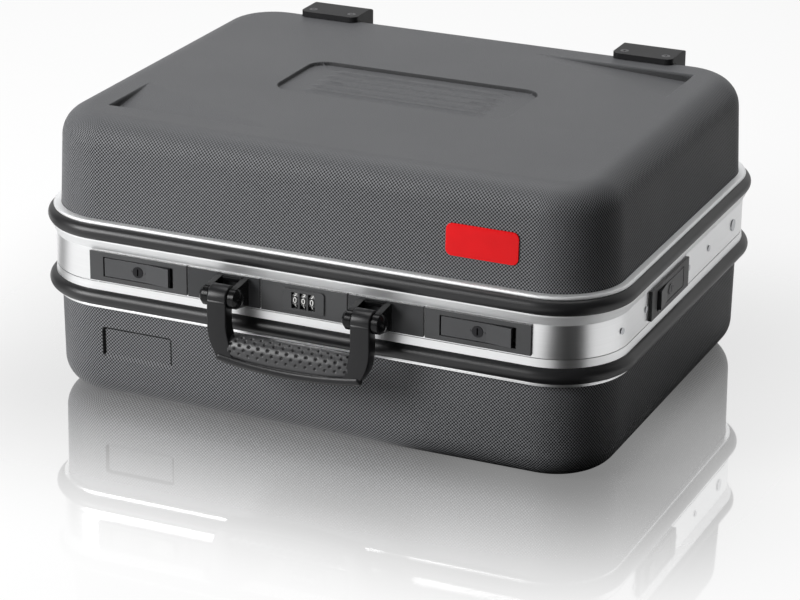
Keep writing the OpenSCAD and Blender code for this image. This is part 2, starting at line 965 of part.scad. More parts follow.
// Rear feet of the lid, round its upper edge
module lid_feet() {
  color(plastic)
    difference() {
      for (side = [-1, 1])
        translate([side * foot_x, 0, 0])
          intersection() {
            along_x(foot_w)
              difference() {
                foot_block(foot_front, foot_back, lid_top - foot_drop + foot_rise, foot_top, foot_r);
                translate([case_d / 2, base_h + shell_lip])
                  lid_profile(seat, cut);
              }
            translate([0, foot_back - foot_cover / 2, 0])
              linear_extrude(foot_top)
                rounded_rect(foot_w, foot_cover, foot_r / 2);
          }
      lid_screw_holes();
      for (side = [-1, 1])
        for (x = [-1, 1])
          translate([side * foot_x + x * screw_pitch / 2, foot_front + screw_in, foot_top - head_h])
            cylinder(r = head_r + seat, h = head_h + cut);
    }
}

module lid_foot_screws() {
  color(steel)
    for (side = [-1, 1])
      for (x = [-1, 1])
        translate([side * foot_x + x * screw_pitch / 2, foot_front + screw_in, foot_top])
          mirror([0, 0, 1])
            screw(lid_screw_l);
}

module lid_badge() {
  color([0.85, 0.1, 0.1])
    translate([badge_x, -case_d / 2 + lid_inset + (badge_z - shell_lip) * tan(lid_draft) - 0.02, base_h + badge_z])
      rotate([90 - lid_draft, 0, 0])
        linear_extrude(badge_t)
          rounded_rect(badge_w, badge_h, badge_r);
}

// A plate with a tray behind it, in which the lever turns
module lock_plate(length) {
  color(dark)
    difference() {
      union() {
        translate([-length / 2 + plate_gap / 2, -plate_t, -plate_h / 2])
          cube([length - plate_gap, plate_t, plate_h]);
        translate([-tray_l / 2, 0, -tray_h / 2])
          cube([tray_l, tray_depth + tray_t, tray_h]);
      }
      translate([-recess_l / 2, -plate_t - cut, -recess_h / 2])
        cube([recess_l, plate_t + tray_depth + cut, recess_h]);
      translate([0, pivot_depth, 0])
        cylinder(r = trunnion_r + run_gap, h = tray_h + 2 * cut, center = true);
      translate([-hook_x + hook_shift, tray_depth, 0])
        cube([hook_w + 2 * hook_play, 3 * tray_t, hook_h + 1.2], center = true);
    }
}

module lock_plate_front_left() {
  at_front_left()
    lock_plate(lock_plate_l);
}

module lock_plate_front_right() {
  at_front_right()
    lock_plate(lock_plate_l);
}

module lock_plate_left() {
  at_left()
    lock_plate(side_plate_l);
}

module lock_plate_right() {
  at_right()
    lock_plate(side_plate_l);
}

// The right bracket: a plate with two domed ears that hold the handle's pin
module handle_bracket() {
  color(dark)
    difference() {
      translate([0, -band_d / 2, base_h]) {
        translate([bracket_in + plate_gap / 2, -plate_t, plate_z])
          cube([bracket_out - bracket_in - plate_gap, plate_t, plate_h]);
        translate([arm_pitch / 2, 0, 0]) {
          for (side = [-1, 1])
            translate([side * (arm_w / 2 + ear_gap + ear_w / 2), 0, 0]) {
              mirror([0, 1, 0])
                along_x(ear_w) {
                  translate([handle_out, pivot_z])
                    circle(ear_r);
                  polygon([[plate_t - 0.1, plate_z + plate_h - 1], [handle_out, pivot_z + ear_r],
                    [handle_out, pivot_z - ear_r], [plate_t - 0.1, plate_z + 1]]);
                }
              translate([side * ear_w / 2, -handle_out, pivot_z])
                rotate([0, side * 90, 0])
                  dome();
            }
          hood();
        }
      }
      translate([arm_pitch / 2, -band_d / 2 - handle_out, base_h + pivot_z])
        rotate([0, 90, 0])
          cylinder(r = handle_pin_r, h = handle_pin_l, center = true);
    }
}

// A round cap on the end of an ear, set in a little from its rim
module dome() {
  cap_r = ear_r - dome_step;
  ball_r = (pow(cap_r, 2) + pow(dome_h, 2)) / (2 * dome_h);
  intersection() {
    translate([0, 0, dome_h - ball_r])
      sphere(ball_r);
    translate([0, 0, -seat])
      cylinder(r = 2 * ear_r, h = dome_h + 2 * seat);
  }
}

// The ridged hood over the knuckle
module hood() {
  difference() {
    for (step = [0:2])
      translate([-arm_w / 2 - ear_gap, -plate_t - 1.2 * (step + 1), plate_z + plate_h - 4.5])
        cube([arm_w + 2 * ear_gap, plate_t + 1.2 * step, 4.5 - 0.9 * step]);
    translate([0, -handle_out, pivot_z])
      rotate([0, 90, 0])
        cylinder(r = knuckle_r + pass, h = arm_w + 2 * cut, center = true);
  }
}

module handle_bracket_right() {
  handle_bracket();
}

module handle_bracket_left() {
  mirror([1, 0, 0])
    handle_bracket();
}

module handle_pins() {
  color(steel)
    both_sides()
      translate([arm_pitch / 2, -band_d / 2 - handle_out, base_h + pivot_z])
        rotate([0, 90, 0])
          cylinder(r = handle_pin_r, h = handle_pin_l, center = true);
}

module combination_plate() {
  color(dark)
    translate([0, -band_d / 2, base_h + plate_mid])
      difference() {
        union() {
          translate([-combi_plate_l / 2 + plate_gap / 2, -plate_t, -plate_h / 2])
            cube([combi_plate_l - plate_gap, plate_t, plate_h]);
          translate([0, -plate_t, 0])
            rotate([90, 0, 0])
              linear_extrude(combi_face_rise)
                rounded_rect(combi_face_l, combi_face_h, 2);
        }
        for (i = [-1:1])
          translate([i * wheel_pitch, 0, 0])
            cube([window_w, 4 * plate_t, window_h], center = true);
        translate([0, 0, 0])
          cube([body_l - 2 * body_wall, 2 * pocket, body_h - 2 * body_wall], center = true);
        translate([-combi_face_l / 2 + 9.5, -plate_t - combi_face_rise - cut, 0])
          rotate([-90, 0, 0])
            intersection() {
              difference() {
                cylinder(r = notch_arc_r, h = cut + combi_face_rise);
                translate([0.8, 0, -cut])
                  cylinder(r = notch_arc_r - notch_w + 0.8, h = 3 * cut + combi_face_rise);
              }
              translate([-notch_arc_r - cut, -6.5, 0])
                cube([6, 13, 3 * cut]);
            }
      }
}

// The box behind the plate that carries the wheels' axle
module combination_body() {
  color(steel)
    translate([0, -band_d / 2, base_h + plate_mid])
      difference() {
        translate([-body_l / 2, 0, -body_h / 2])
          cube([body_l, body_depth, body_h]);
        translate([-body_l / 2 + body_wall, -cut, -body_h / 2 + body_wall])
          cube([body_l - 2 * body_wall, body_depth - body_wall + cut, body_h - 2 * body_wall]);
        translate([0, wheel_depth, 0])
          rotate([0, 90, 0])
            cylinder(r = axle_r, h = body_l + 2 * cut, center = true);
      }
}

module combination_axle() {
  color(steel)
    translate([0, -band_d / 2 + wheel_depth, base_h + plate_mid])
      rotate([0, 90, 0])
        cylinder(r = axle_r, h = body_l, center = true);
}

// A number wheel with a groove between every two of its ten numbers
module combination_wheel(place) {
  color(dark)
    translate([place * wheel_pitch, -band_d / 2 + wheel_depth, base_h + plate_mid])
      rotate([0, 90, 0])
        difference() {
          union() {
            cylinder(r = wheel_r, h = wheel_w, center = true);
            cylinder(r = hub_r, h = wheel_pitch - 0.2, center = true);
          }
          cylinder(r = axle_r + run_gap, h = wheel_pitch + cut, center = true);
          for (i = [0:9])
            rotate([0, 0, i * 36])
              translate([wheel_r, 0, 0])
                rotate([0, 0, 45])
                  cube([0.7, 0.7, wheel_w + cut], center = true);
        }
}

module combination_wheel_1() {
  combination_wheel(-1);
}

module combination_wheel_2() {
  combination_wheel(0);
}

module combination_wheel_3() {
  combination_wheel(1);
}

// The lid's half of a hinge: leaf on the band and the knuckles between
module hinge_lid_leaves() {
  color(steel)
    at_hinges()
      difference() {
        union() {
          difference() {
            translate([-hinge_l / 2, 0, 0.5])
              cube([hinge_l, leaf_t, leaf_h]);
            for (seg = [-2, 0, 2])
              translate([seg * seg_l, 0, 0])
                along_x(seg_l + pass)
                  translate([hinge_out, 0])
                    circle(hinge_r + pass);
          }
          for (seg = [-1, 1])
            translate([seg * seg_l, 0, 0])
              along_x(seg_l - pass) {
                translate([hinge_out, 0])
                  circle(hinge_r);
                translate([0, 0.5])
                  square([hinge_out, hinge_r - 0.5]);
              }
        }
        pin_bore(hinge_pin_r + run_gap);
        lid_hinge_rivets();
      }
}

module lid_hinge_rivets() {
  for (seg = [-2, 0, 2])
    translate([seg * seg_l, leaf_t, leaf_h - 6])
      mirror([0, 1, 0])
        rivet(rivet_r, leaf_t + frame_t, rivet_head_r, true);
}

module hinge_lid_rivets() {
  color(steel)
    at_hinges()
      lid_hinge_rivets();
}

// Places a piece on the right band and its corners, at a distance behind the middle
module on_side_band(y) {
  straight = band_d / 2 - band_r;
  turn = max(0, abs(y) - straight) / band_r * 180 / PI;
  translate([band_w / 2 - band_r, sign(y) * min(abs(y), straight), base_h + plate_mid])
    rotate([0, 0, sign(y) * turn])
      translate([band_r, 0, 0])
        rotate([0, 0, 90])
          children();
}

// Places a rivet on a side band: y runs inward
module at_side_rivets() {
  both_sides()
    for (y = [-1, 1])
      for (far = [side_rivet_near, side_rivet_far])
        on_side_band(-side_lock_y + y * far)
          children();
}

module frame_rivets() {
  color(steel)
    at_side_rivets()
      rivet(rivet_r, frame_t + seat, rivet_head_r, true);
}

module at_studs() {
  both_sides()
    translate([band_w / 2, stud_y, base_h + stud_z])
      rotate([0, 0, 90])
        children();
}

// Studs of the lid that slide in the stay arms' slots
module stay_studs() {
  arm_outer = band_w / 2 - stay_x - stay_t / 2;
  color(steel)
    at_studs() {
      rivet(shank_r, arm_outer + stay_t + 1, post_r + 1, false);
      translate([0, frame_t, 0])
        rotate([-90, 0, 0])
          cylinder(r = post_r + 0.5, h = arm_outer - frame_t - 0.3);
      translate([0, arm_outer + stay_t + 0.3, 0])
        rotate([-90, 0, 0])
          cylinder(r = flange_r, h = flange_t);
    }
}

// ---- Stays ----

module stay_arm_right() {
  color(steel)
    translate([stay_x, stay_y, base_h + stay_z])
      rotate([stay_lean, 0, 0])
        along_x(stay_t)
          difference() {
            union() {
              circle(stay_w / 2);
              translate([-stay_w / 2, 0])
                square([stay_w, stay_far]);
              translate([0, stay_far])
                circle(stay_w / 2);
            }
            circle(shank_r + run_gap);
            translate([0, stay_near])
              circle(stay_slot_r);
            translate([-stay_slot_r, stay_near])
              square([2 * stay_slot_r, stay_far - stay_near]);
            translate([0, stay_far])
              circle(stay_slot_r);
          }
}

module stay_arm_left() {
  mirror([1, 0, 0])
    stay_arm_right();
}

// ---- Locks ----

// A rocker on an upright pivot: a flat half, and a half that slopes out to a finger edge
module lever() {
  flat_end = -recess_l / 2 + lever_end_gap;
  raised_end = recess_l / 2 - finger_gap;
  color(dark)
    difference() {
      union() {
        linear_extrude(lever_h, center = true)
          polygon([[flat_end, -plate_t], [bend_x, -plate_t],
            [raised_end, -plate_t - lever_rise],
            [raised_end, -plate_t - lever_rise + lever_t],
            [bend_x, -plate_t + lever_t],
            [flat_end, -plate_t + lever_t]]);
        translate([0, pivot_depth, 0])
          cylinder(r = boss_r, h = lever_h, center = true);
        translate([0, pivot_depth, 0])
          cylinder(r = trunnion_r, h = tray_h, center = true);
        for (x = [-1, 1])
          translate([x * (key_r + 1.4), -plate_t - 0.3, 0])
            rotate([-90, 0, 0])
              cylinder(r = 0.7, h = 1);
      }
      translate([0, -plate_t - cut, 0])
        rotate([-90, 0, 0])
          cylinder(r = key_r + run_gap, h = cut + plate_t + key_depth);
      translate([-hook_x, -plate_t + lever_t, 0])
        cube([hook_w, 2 * hook_root, hook_h], center = true);
    }
}

module hook() {
  color(steel)
    translate([-hook_x - hook_w / 2, -plate_t + lever_t - hook_root, -hook_h / 2])
      cube([hook_w, tray_depth + tray_t + hook_reach + plate_t - lever_t + hook_root, hook_h]);
}

// A round plug with a slot for the key
module key() {
  color(steel)
    difference() {
      translate([0, -plate_t - key_rise, 0])
        rotate([-90, 0, 0])
          cylinder(r = key_r, h = key_rise + plate_t + key_depth - seat);
      translate([0, -plate_t - key_rise, 0])
        cube([1.2, 4, 5.6], center = true);
    }
}

module lever_front_left() {
  at_front_left()
    lever();
}

module lever_front_right() {
  at_front_right()
    lever();
}

module lever_left() {
  at_left()
    lever();
}

module lever_right() {
  at_right()
    lever();
}

module hook_front_left() {
  at_front_left()
    hook();
}

module hook_front_right() {
  at_front_right()
    hook();
}

module hook_left() {
  at_left()
    hook();
}

module hook_right() {
  at_right()
    hook();
}

module key_front_left() {
  at_front_left()
    key();
}

module key_front_right() {
  at_front_right()
    key();
}

module key_left() {
  at_left()
    key();
}

module key_right() {
  at_right()
    key();
}

// ---- Handle ----

// Outline of the handle seen from the front, the arms' pivots at y = 0
module handle_outline() {
  half = arm_pitch / 2 + arm_w / 2;
  sag_r = (pow(half, 2) + pow(grip_sag, 2)) / (2 * grip_sag);
  intersection() {
    union() {
      translate([-half, -grip_drop + handle_side_h])
        square([2 * half, grip_drop - handle_side_h]);
      translate([-half + handle_side_r, -grip_drop])
        square([2 * (half - handle_side_r), handle_side_h]);
      for (x = [-1, 1])
        translate([x * (half - handle_side_r), -grip_drop + handle_side_h])
          circle(handle_side_r);
    }
    translate([0, sag_r - grip_drop])
      circle(sag_r, $fn = 480);
  }
}

// The grip's section, its outer face at x = arm_out
module grip_section(grow) {
  translate([arm_out - grip_d / 2, grip_top - grip_h / 2])
    rounded_rect(grip_d + 2 * grow, grip_h + 2 * grow, grip_r + grow);
}

module pad_section() {
  intersection() {
    difference() {
      grip_section(pad_rise);
      grip_section(-1.5);
    }
    translate([arm_out - grip_d - cut, grip_bottom + pad_bottom])
      square([grip_d + 3 * cut, grip_h]);
  }
}

module grip_place() {
  translate([0, -band_d / 2, base_h])
    mirror([0, 1, 0])
      children();
}

module handle_frame() {
  inner = arm_pitch / 2 - arm_w / 2;
  color(dark)
    difference() {
      union() {
        intersection() {
          translate([0, -band_d / 2, base_h + pivot_z])
            rotate([90, 0, 0])
              linear_extrude(arm_out)
                handle_outline();
          grip_place()
            union() {
              along_x(2 * arm_pitch)
                grip_section(0);
              for (x = [-1, 1])
                translate([x * arm_pitch / 2, arm_out - arm_t, grip_bottom])
                  translate([-arm_w / 2, 0, 0])
                    cube([arm_w, arm_t, grip_drop]);
            }
        }
        for (x = [-1, 1])
          translate([x * arm_pitch / 2, -band_d / 2 - handle_out, base_h + pivot_z])
            rotate([0, 90, 0])
              cylinder(r = knuckle_r, h = arm_w, center = true);
      }
      grip_place()
        along_x(2 * (inner - pad_inset))
          pad_section();
      for (x = [-1, 1])
        translate([x * arm_pitch / 2, -band_d / 2 - handle_out, base_h + pivot_z])
          rotate([0, 90, 0])
            cylinder(r = handle_pin_r + run_gap, h = arm_w + 2 * cut, center = true);
    }
}

// The soft pad round the grip, dimpled in front
module handle_grip() {
  inner = arm_pitch / 2 - arm_w / 2;
  color(rubber)
    difference() {
      grip_place()
        along_x(2 * (inner - pad_inset))
          pad_section();
      for (row = [0:2])
        for (i = [-7:7])
          translate([(i + (row % 2) / 2 - 0.25) * 6, -band_d / 2 - arm_out - pad_rise,
            base_h + grip_bottom + pad_bottom + 2.2 + row * 3])
            rotate([-90, 0, 0])
              cylinder(r = 1, h = 0.9);
    }
}

base_shell();
base_frame();
base_bumper();
base_feet();
base_foot_screws();
keeper_front_left();
keeper_front_right();
keeper_left();
keeper_right();
keeper_rivets();
hinge_base_leaves();
hinge_pins();
hinge_base_rivets();
stay_posts();
lid_shell();
lid_frame();
lid_bumper();
lid_feet();
lid_foot_screws();
lid_badge();
lock_plate_front_left();
lock_plate_front_right();
lock_plate_left();
lock_plate_right();
handle_bracket_left();
handle_bracket_right();
handle_pins();
combination_plate();
combination_body();
combination_axle();
combination_wheel_1();
combination_wheel_2();
combination_wheel_3();
hinge_lid_leaves();
hinge_lid_rivets();
frame_rivets();
stay_studs();
stay_arm_left();
stay_arm_right();
lever_front_left();
lever_front_right();
lever_left();
lever_right();
hook_front_left();
hook_front_right();
hook_left();
hook_right();
key_front_left();
key_front_right();
key_left();
key_right();
handle_frame();
handle_grip();
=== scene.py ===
import bmesh
import bpy
import math
import numpy as np
from mathutils import Matrix, Vector


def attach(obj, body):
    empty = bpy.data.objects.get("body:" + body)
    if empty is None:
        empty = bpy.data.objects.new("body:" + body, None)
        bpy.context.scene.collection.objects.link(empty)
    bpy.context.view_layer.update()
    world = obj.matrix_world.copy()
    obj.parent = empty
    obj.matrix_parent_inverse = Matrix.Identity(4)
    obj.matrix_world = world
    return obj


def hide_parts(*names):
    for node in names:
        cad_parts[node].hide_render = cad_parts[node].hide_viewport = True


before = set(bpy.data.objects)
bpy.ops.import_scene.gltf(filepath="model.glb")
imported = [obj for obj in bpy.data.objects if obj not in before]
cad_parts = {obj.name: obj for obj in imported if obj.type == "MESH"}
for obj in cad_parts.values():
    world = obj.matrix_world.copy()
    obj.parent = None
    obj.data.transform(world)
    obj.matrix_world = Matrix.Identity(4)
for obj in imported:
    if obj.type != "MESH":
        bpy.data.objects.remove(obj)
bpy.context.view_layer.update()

# ---- Camera -------------------------------------------------------------
# The camera stands to the right of the case's front, a little above it, with a
# long lens about two and a half metres away.

azimuth = math.radians(23.828)
elevation = math.radians(21.306)
roll = math.radians(0.612)
right = Vector((math.cos(azimuth), math.sin(azimuth), 0))
back = Vector((math.sin(azimuth) * math.cos(elevation),
               -math.cos(azimuth) * math.cos(elevation), math.sin(elevation)))
up = back.cross(right)
shift_right, shift_up, distance = -0.003756, 0.047161, 2.46724
focal_px, image_w_px, sensor_mm = 3002.9, 800, 36
place = right * shift_right + up * shift_up + back * distance
side = right * math.cos(roll) + up * math.sin(roll)
over = up * math.cos(roll) - right * math.sin(roll)
camera_data = bpy.data.cameras.new("camera")
camera_data.sensor_width = sensor_mm
camera_data.lens = focal_px * sensor_mm / image_w_px
camera_data.clip_end = 50
camera = bpy.data.objects.new("camera", camera_data)
camera.matrix_world = Matrix((
    (side.x, over.x, back.x, place.x),
    (side.y, over.y, back.y, place.y),
    (side.z, over.z, back.z, place.z),
    (0, 0, 0, 1)))
bpy.context.collection.objects.link(camera)
bpy.context.scene.camera = camera
bpy.context.scene.view_settings.view_transform = "Standard"

# ---- Studio -------------------------------------------------------------
# A pale room with large soft lamps at the front left and overhead. A black card
# to the right keeps light off that side, and shows in the metal at the corner;
# the polished white floor mirrors the case close to it and fades to plain white.

world = bpy.data.worlds.new("room")
bpy.context.scene.world = world
world.use_nodes = True
tree = world.node_tree
tree.nodes.clear()


def math_node(tree, operation, *inputs):
    """A Math node with its inputs linked or set; clamps nothing."""
    node = tree.nodes.new("ShaderNodeMath")
    node.operation = operation
    for socket, value in zip(node.inputs, inputs):
        if isinstance(value, (int, float)):
            socket.default_value = value
        else:
            tree.links.new(value, socket)
    return node.outputs[0]


def between(tree, value, low, high, to_low=0.0, to_high=1.0):
    """Maps low..high of a value to to_low..to_high in a smooth step, held at both ends."""
    node = tree.nodes.new("ShaderNodeMapRange")
    node.interpolation_type = "SMOOTHSTEP"
    node.inputs["From Min"].default_value = low
    node.inputs["From Max"].default_value = high
    node.inputs["To Min"].default_value = to_low
    node.inputs["To Max"].default_value = to_high
    tree.links.new(value, node.inputs["Value"])
    return node.outputs[0]


def mix(tree, kind, factor, a, b):
    """Gives a where the factor is 0 and b where it is 1; kind is FLOAT or RGBA."""
    node = tree.nodes.new("ShaderNodeMix")
    node.data_type = kind
    tree.links.new(factor, node.inputs["Factor"])
    for socket, value in (("A", a), ("B", b)):
        if isinstance(value, (int, float, tuple)):
            node.inputs[socket].default_value = value
        else:
            tree.links.new(value, node.inputs[socket])
    return node.outputs["Result"]


def split(tree, vector):
    """The X, Y and Z of a vector."""
    node = tree.nodes.new("ShaderNodeSeparateXYZ")
    tree.links.new(vector, node.inputs[0])
    return node.outputs


def heading_of(tree, xyz):
    """Angle about the case, 0 at its front (-Y) and 90 degrees at its right (+X)."""
    return math_node(tree, "ARCTAN2", xyz["X"], math_node(tree, "MULTIPLY", xyz["Y"], -1.0))


def sector(tree, angle, near, far, depth=1.0):
    """1 (times depth) between two headings about the case, 0 outside, soft at both edges;
    near and far are each (start, end) in degrees."""
    rise = between(tree, angle, math.radians(near[0]), math.radians(near[1]))
    fall = between(tree, angle, math.radians(far[0]), math.radians(far[1]))
    return math_node(tree, "MULTIPLY", math_node(tree, "SUBTRACT", rise, fall), depth)


room_level, shaded_by = 0.20, 0.18
mirrored_level, backdrop_level = 0.10, 0.86
seen = tree.nodes.new("ShaderNodeLightPath").outputs
straight = math_node(tree, "MAXIMUM", seen["Is Camera Ray"], seen["Is Transmission Ray"])
way = split(tree, tree.nodes.new("ShaderNodeTexCoord").outputs["Generated"])
heading = heading_of(tree, way)
low_down = between(tree, way["Z"], 0.75, 0.95, 1.0, 0.0)
screen = math_node(tree, "MULTIPLY", sector(tree, heading, (30, 50), (130, 155)), low_down)
dim = math_node(tree, "SUBTRACT", room_level, math_node(tree, "MULTIPLY", screen, shaded_by))
behind = between(tree, math_node(tree, "ABSOLUTE", heading), math.radians(95), math.radians(125))
backdrop = math_node(tree, "MULTIPLY", behind, between(tree, way["Z"], 0.6, 0.8, 1.0, 0.0))
mirrored = math_node(tree, "ADD", mirrored_level, math_node(tree, "MULTIPLY", backdrop, backdrop_level))
unseen = mix(tree, "FLOAT", seen["Is Glossy Ray"], dim, mirrored)
room = tree.nodes.new("ShaderNodeBackground")
tree.links.new(mix(tree, "FLOAT", straight, unseen, 1.0), room.inputs["Strength"])
room_out = tree.nodes.new("ShaderNodeOutputWorld")
tree.links.new(room.outputs[0], room_out.inputs[0])


def soft_lamp(name, place, size, watts):
    """A square area lamp that faces the middle of the case."""
    data = bpy.data.lights.new(name, "AREA")
    data.shape = "SQUARE"
    data.size = size
    data.energy = watts
    lamp = bpy.data.objects.new(name, data)
    lamp.location = place
    aim = Vector((0, 0, 0.1)) - Vector(place)
    lamp.rotation_euler = aim.to_track_quat("-Z", "Y").to_euler()
    bpy.context.collection.objects.link(lamp)


soft_lamp("lamp_front", (-1.7, -2.0, 1.3), size=1.3, watts=71)
soft_lamp("lamp_top", (-0.25, 0.5, 2.2), size=1.6, watts=34)


def new_material(name):
    """A material, its node tree and its main shader."""
    material = bpy.data.materials.new(name)
    material.use_nodes = True
    return material, material.node_tree, material.node_tree.nodes["Principled BSDF"]


def mix_shaders(tree, factor, a, b):
    """Shader a where the factor is 0 and b where it is 1."""
    node = tree.nodes.new("ShaderNodeMixShader")
    for socket, source in zip(node.inputs, (factor, a, b)):
        tree.links.new(source, socket)
    return node.outputs[0]


def past(tree, value, limit):
    """How far a value lies beyond plus or minus the limit, and 0 within it."""
    over = math_node(tree, "SUBTRACT", math_node(tree, "ABSOLUTE", value), limit)
    return math_node(tree, "MAXIMUM", over, 0.0)


floor_half, floor_drop = 6, 0.0002
foot_x, foot_y, mirror_reach = 0.20, 0.15, 0.29
mirror_near, mirror_far = 0.87, 0.02
pale, card_black, white = (0.93, 0.93, 0.93, 1), (0.02, 0.02, 0.02, 1), (1, 1, 1, 1)
floor_mesh = bpy.data.meshes.new("floor")
corners = ((-1, -1), (1, -1), (1, 1), (-1, 1))
floor_mesh.from_pydata([(x * floor_half, y * floor_half, 0) for x, y in corners], [], [(0, 1, 2, 3)])
floor = bpy.data.objects.new("floor", floor_mesh)
floor.location = (0, 0, -floor_drop)
bpy.context.collection.objects.link(floor)
floor_material, tree, shader = new_material("polished_floor")
shader.inputs["Roughness"].default_value = 0.5
shader.inputs["Specular IOR Level"].default_value = 0
spot = split(tree, tree.nodes.new("ShaderNodeTexCoord").outputs["Object"])
past_side, past_end = past(tree, spot["X"], foot_x), past(tree, spot["Y"], foot_y)
apart = math_node(tree, "SQRT", math_node(
    tree, "ADD", math_node(tree, "MULTIPLY", past_side, past_side),
    math_node(tree, "MULTIPLY", past_end, past_end)))
spin = heading_of(tree, spot)
ray = tree.nodes.new("ShaderNodeLightPath").outputs
# Painted shade and painted reflections: in sectors about the case, the floor's colour turns near black for
# rays reflected or bounced off the case, standing in for black cards; the right side gets less light and
# the corner metal shows black.
right_card = sector(tree, spin, (17, 31), (54, 66))
left_card = sector(tree, spin, (-96, -82), (-76, -60), 0.7)
cards = math_node(tree, "ADD", right_card, left_card)
mirrored_card = math_node(tree, "MULTIPLY", cards, ray["Is Glossy Ray"])
side_shade = sector(tree, spin, (18, 33), (140, 165))
soft_card = math_node(tree, "MULTIPLY", side_shade, ray["Is Diffuse Ray"])
card = math_node(tree, "ADD", mirrored_card, soft_card)
tree.links.new(mix(tree, "RGBA", card, pale, card_black), shader.inputs["Base Color"])
dull = math_node(tree, "SUBTRACT", 1.0, sector(tree, spin, (15, 45), (70, 110), 0.15))
glance = tree.nodes.new("ShaderNodeLayerWeight")
glance.inputs["Blend"].default_value = 0.5
dull = math_node(tree, "MULTIPLY", dull, between(tree, glance.outputs["Facing"], 0.15, 0.5))
fade = math_node(tree, "MULTIPLY", between(tree, apart, 0.0, mirror_reach, mirror_near, mirror_far),
                 math_node(tree, "MULTIPLY", dull, ray["Is Camera Ray"]))
mirror = tree.nodes.new("ShaderNodeBsdfGlossy")
mirror.inputs["Roughness"].default_value = 0.03
mirror.inputs["Color"].default_value = white
plain = tree.nodes.new("ShaderNodeEmission")
plain.inputs["Color"].default_value = white
# Painted light: beyond its even white for the camera, the floor glows white to rays reflected off the case
# within a sector at its front left, putting a sheen on the front wall and the band.
front_glow_in_reflections = sector(tree, spin, (-78, -55), (14, 28))
front_glow_in_reflections = math_node(tree, "MULTIPLY", front_glow_in_reflections, ray["Is Glossy Ray"])
bright = math_node(tree, "MULTIPLY", math_node(tree, "ADD", ray["Is Camera Ray"], front_glow_in_reflections), 0.8)
lit = mix_shaders(tree, bright, shader.outputs[0], plain.outputs[0])
polish = mix_shaders(tree, fade, lit, mirror.outputs[0])
tree.links.new(polish, tree.nodes["Material Output"].inputs["Surface"])
floor_mesh.materials.append(floor_material)

# ---- Base shell ----------------------------------------------------------
# The lower tub is thermoformed black plastic with a fine pyramid grain on its
# walls and a smooth floor; a shallow panel for a label is pressed into the front.

case_w, case_d, corner_r = 0.490, 0.385, 0.062
hx, hy = case_w / 2 - corner_r, case_d / 2 - corner_r
base_h = 0.102
shell_t = 0.0032
merge = 1e-6


def round_path(x_marks, y_marks, corner_steps):
    """Points once round the case, counter-clockwise from the middle of the right side.

    Straight sides take the marks given; each corner is a quarter turn in equal
    angles. Gives each point's foot, which is a corner's centre or lies level with
    it, its outward direction and its length round the loop, and the whole loop's
    length. The outline at an offset is foot + direction * (corner radius + offset).
    """
    turn = np.linspace(0, np.pi / 2, corner_steps + 2)[1:-1]
    feet, ways = [], []
    sides = [
        (np.full(len(y_marks), hx), y_marks, 0.0, (hx, hy)),
        (x_marks[::-1], np.full(len(x_marks), hy), np.pi / 2, (-hx, hy)),
        (np.full(len(y_marks), -hx), y_marks[::-1], np.pi, (-hx, -hy)),
        (x_marks, np.full(len(x_marks), -hy), 3 * np.pi / 2, (hx, -hy)),
    ]
    for fx, fy, heading, corner in sides:
        feet.append(np.stack([fx, fy], 1))
        ways.append(np.full(len(fx), heading))
        feet.append(np.repeat([corner], len(turn), 0))
        ways.append(heading + turn)
    feet = np.concatenate(feet)
    ways = np.concatenate(ways)
    ways = np.stack([np.cos(ways), np.sin(ways)], 1)
    rim = feet + ways * corner_r
    steps = np.linalg.norm(np.roll(rim, -1, 0) - rim, axis=1)
    length = np.concatenate([[0], np.cumsum(steps)[:-1]])
    return feet, ways, length, float(steps.sum())


def marks(low, high, step, fine):
    """Places from low to high, a coarse step apart, with finer steps in the given spans;
    those within 0.0002 of the one before are dropped."""
    places = [np.linspace(low, high, int((high - low) / step) + 1)]
    for a, b, small in fine:
        places.append(np.arange(a, b, small))
    places = np.unique(np.round(np.concatenate(places), 6))
    keep = np.concatenate([[True], np.diff(places) > 0.0002])
    places = places[keep]
    places[-1] = high
    return places


def soft_step(distance, width):
    """0 to 1 as the distance runs from 0 to the width, level at both ends."""
    t = np.clip(distance / width, 0, 1)
    return t * t * (3 - 2 * t)


def box_distance(x, y, half_x, half_y, radius):
    """Distance from the edge of a rounded rectangle about 0, negative inside it."""
    qx = np.abs(x) - (half_x - radius)
    qy = np.abs(y) - (half_y - radius)
    outside = np.hypot(np.maximum(qx, 0), np.maximum(qy, 0))
    return outside + np.minimum(np.maximum(qx, qy), 0) - radius


def grid_mesh(name, points, uv, loop_u):
    """A mesh from a grid of points (rows, columns, 3) whose last column joins the first,
    with a UV map in metres that runs on to loop_u there."""
    rows, columns = points.shape[:2]
    i, j = np.meshgrid(np.arange(rows - 1), np.arange(columns), indexing="ij")
    j2 = (j + 1) % columns
    quads = np.stack([i * columns + j, i * columns + j2,
                      (i + 1) * columns + j2, (i + 1) * columns + j], -1).reshape(-1, 4)
    mesh = bpy.data.meshes.new(name)
    mesh.vertices.add(rows * columns)
    mesh.vertices.foreach_set("co", points.reshape(-1))
    mesh.loops.add(quads.size)
    mesh.loops.foreach_set("vertex_index", quads.reshape(-1))
    mesh.polygons.add(len(quads))
    mesh.polygons.foreach_set("loop_start", np.arange(len(quads)) * 4)
    mesh.polygons.foreach_set("loop_total", np.full(len(quads), 4))
    corner_uv = uv[quads // columns, quads % columns].copy()
    far_side = (np.arange(4) % 3 != 0)[None, :]
    wrapped = (quads % columns == 0) & far_side & (j.reshape(-1, 1) == columns - 1)
    corner_uv[..., 0] += np.where(wrapped, loop_u, 0)
    mesh.uv_layers.new(name="UVMap").data.foreach_set("uv", corner_uv.reshape(-1))
    mesh.update()
    mesh.polygons.foreach_set("use_smooth", np.ones(len(quads), bool))
    return mesh


def point_values(mesh, name, values):
    """Keeps a number for each point, which the mesh's material reads by its name."""
    mesh.attributes.new(name, "FLOAT", "POINT").data.foreach_set("value", values.reshape(-1))


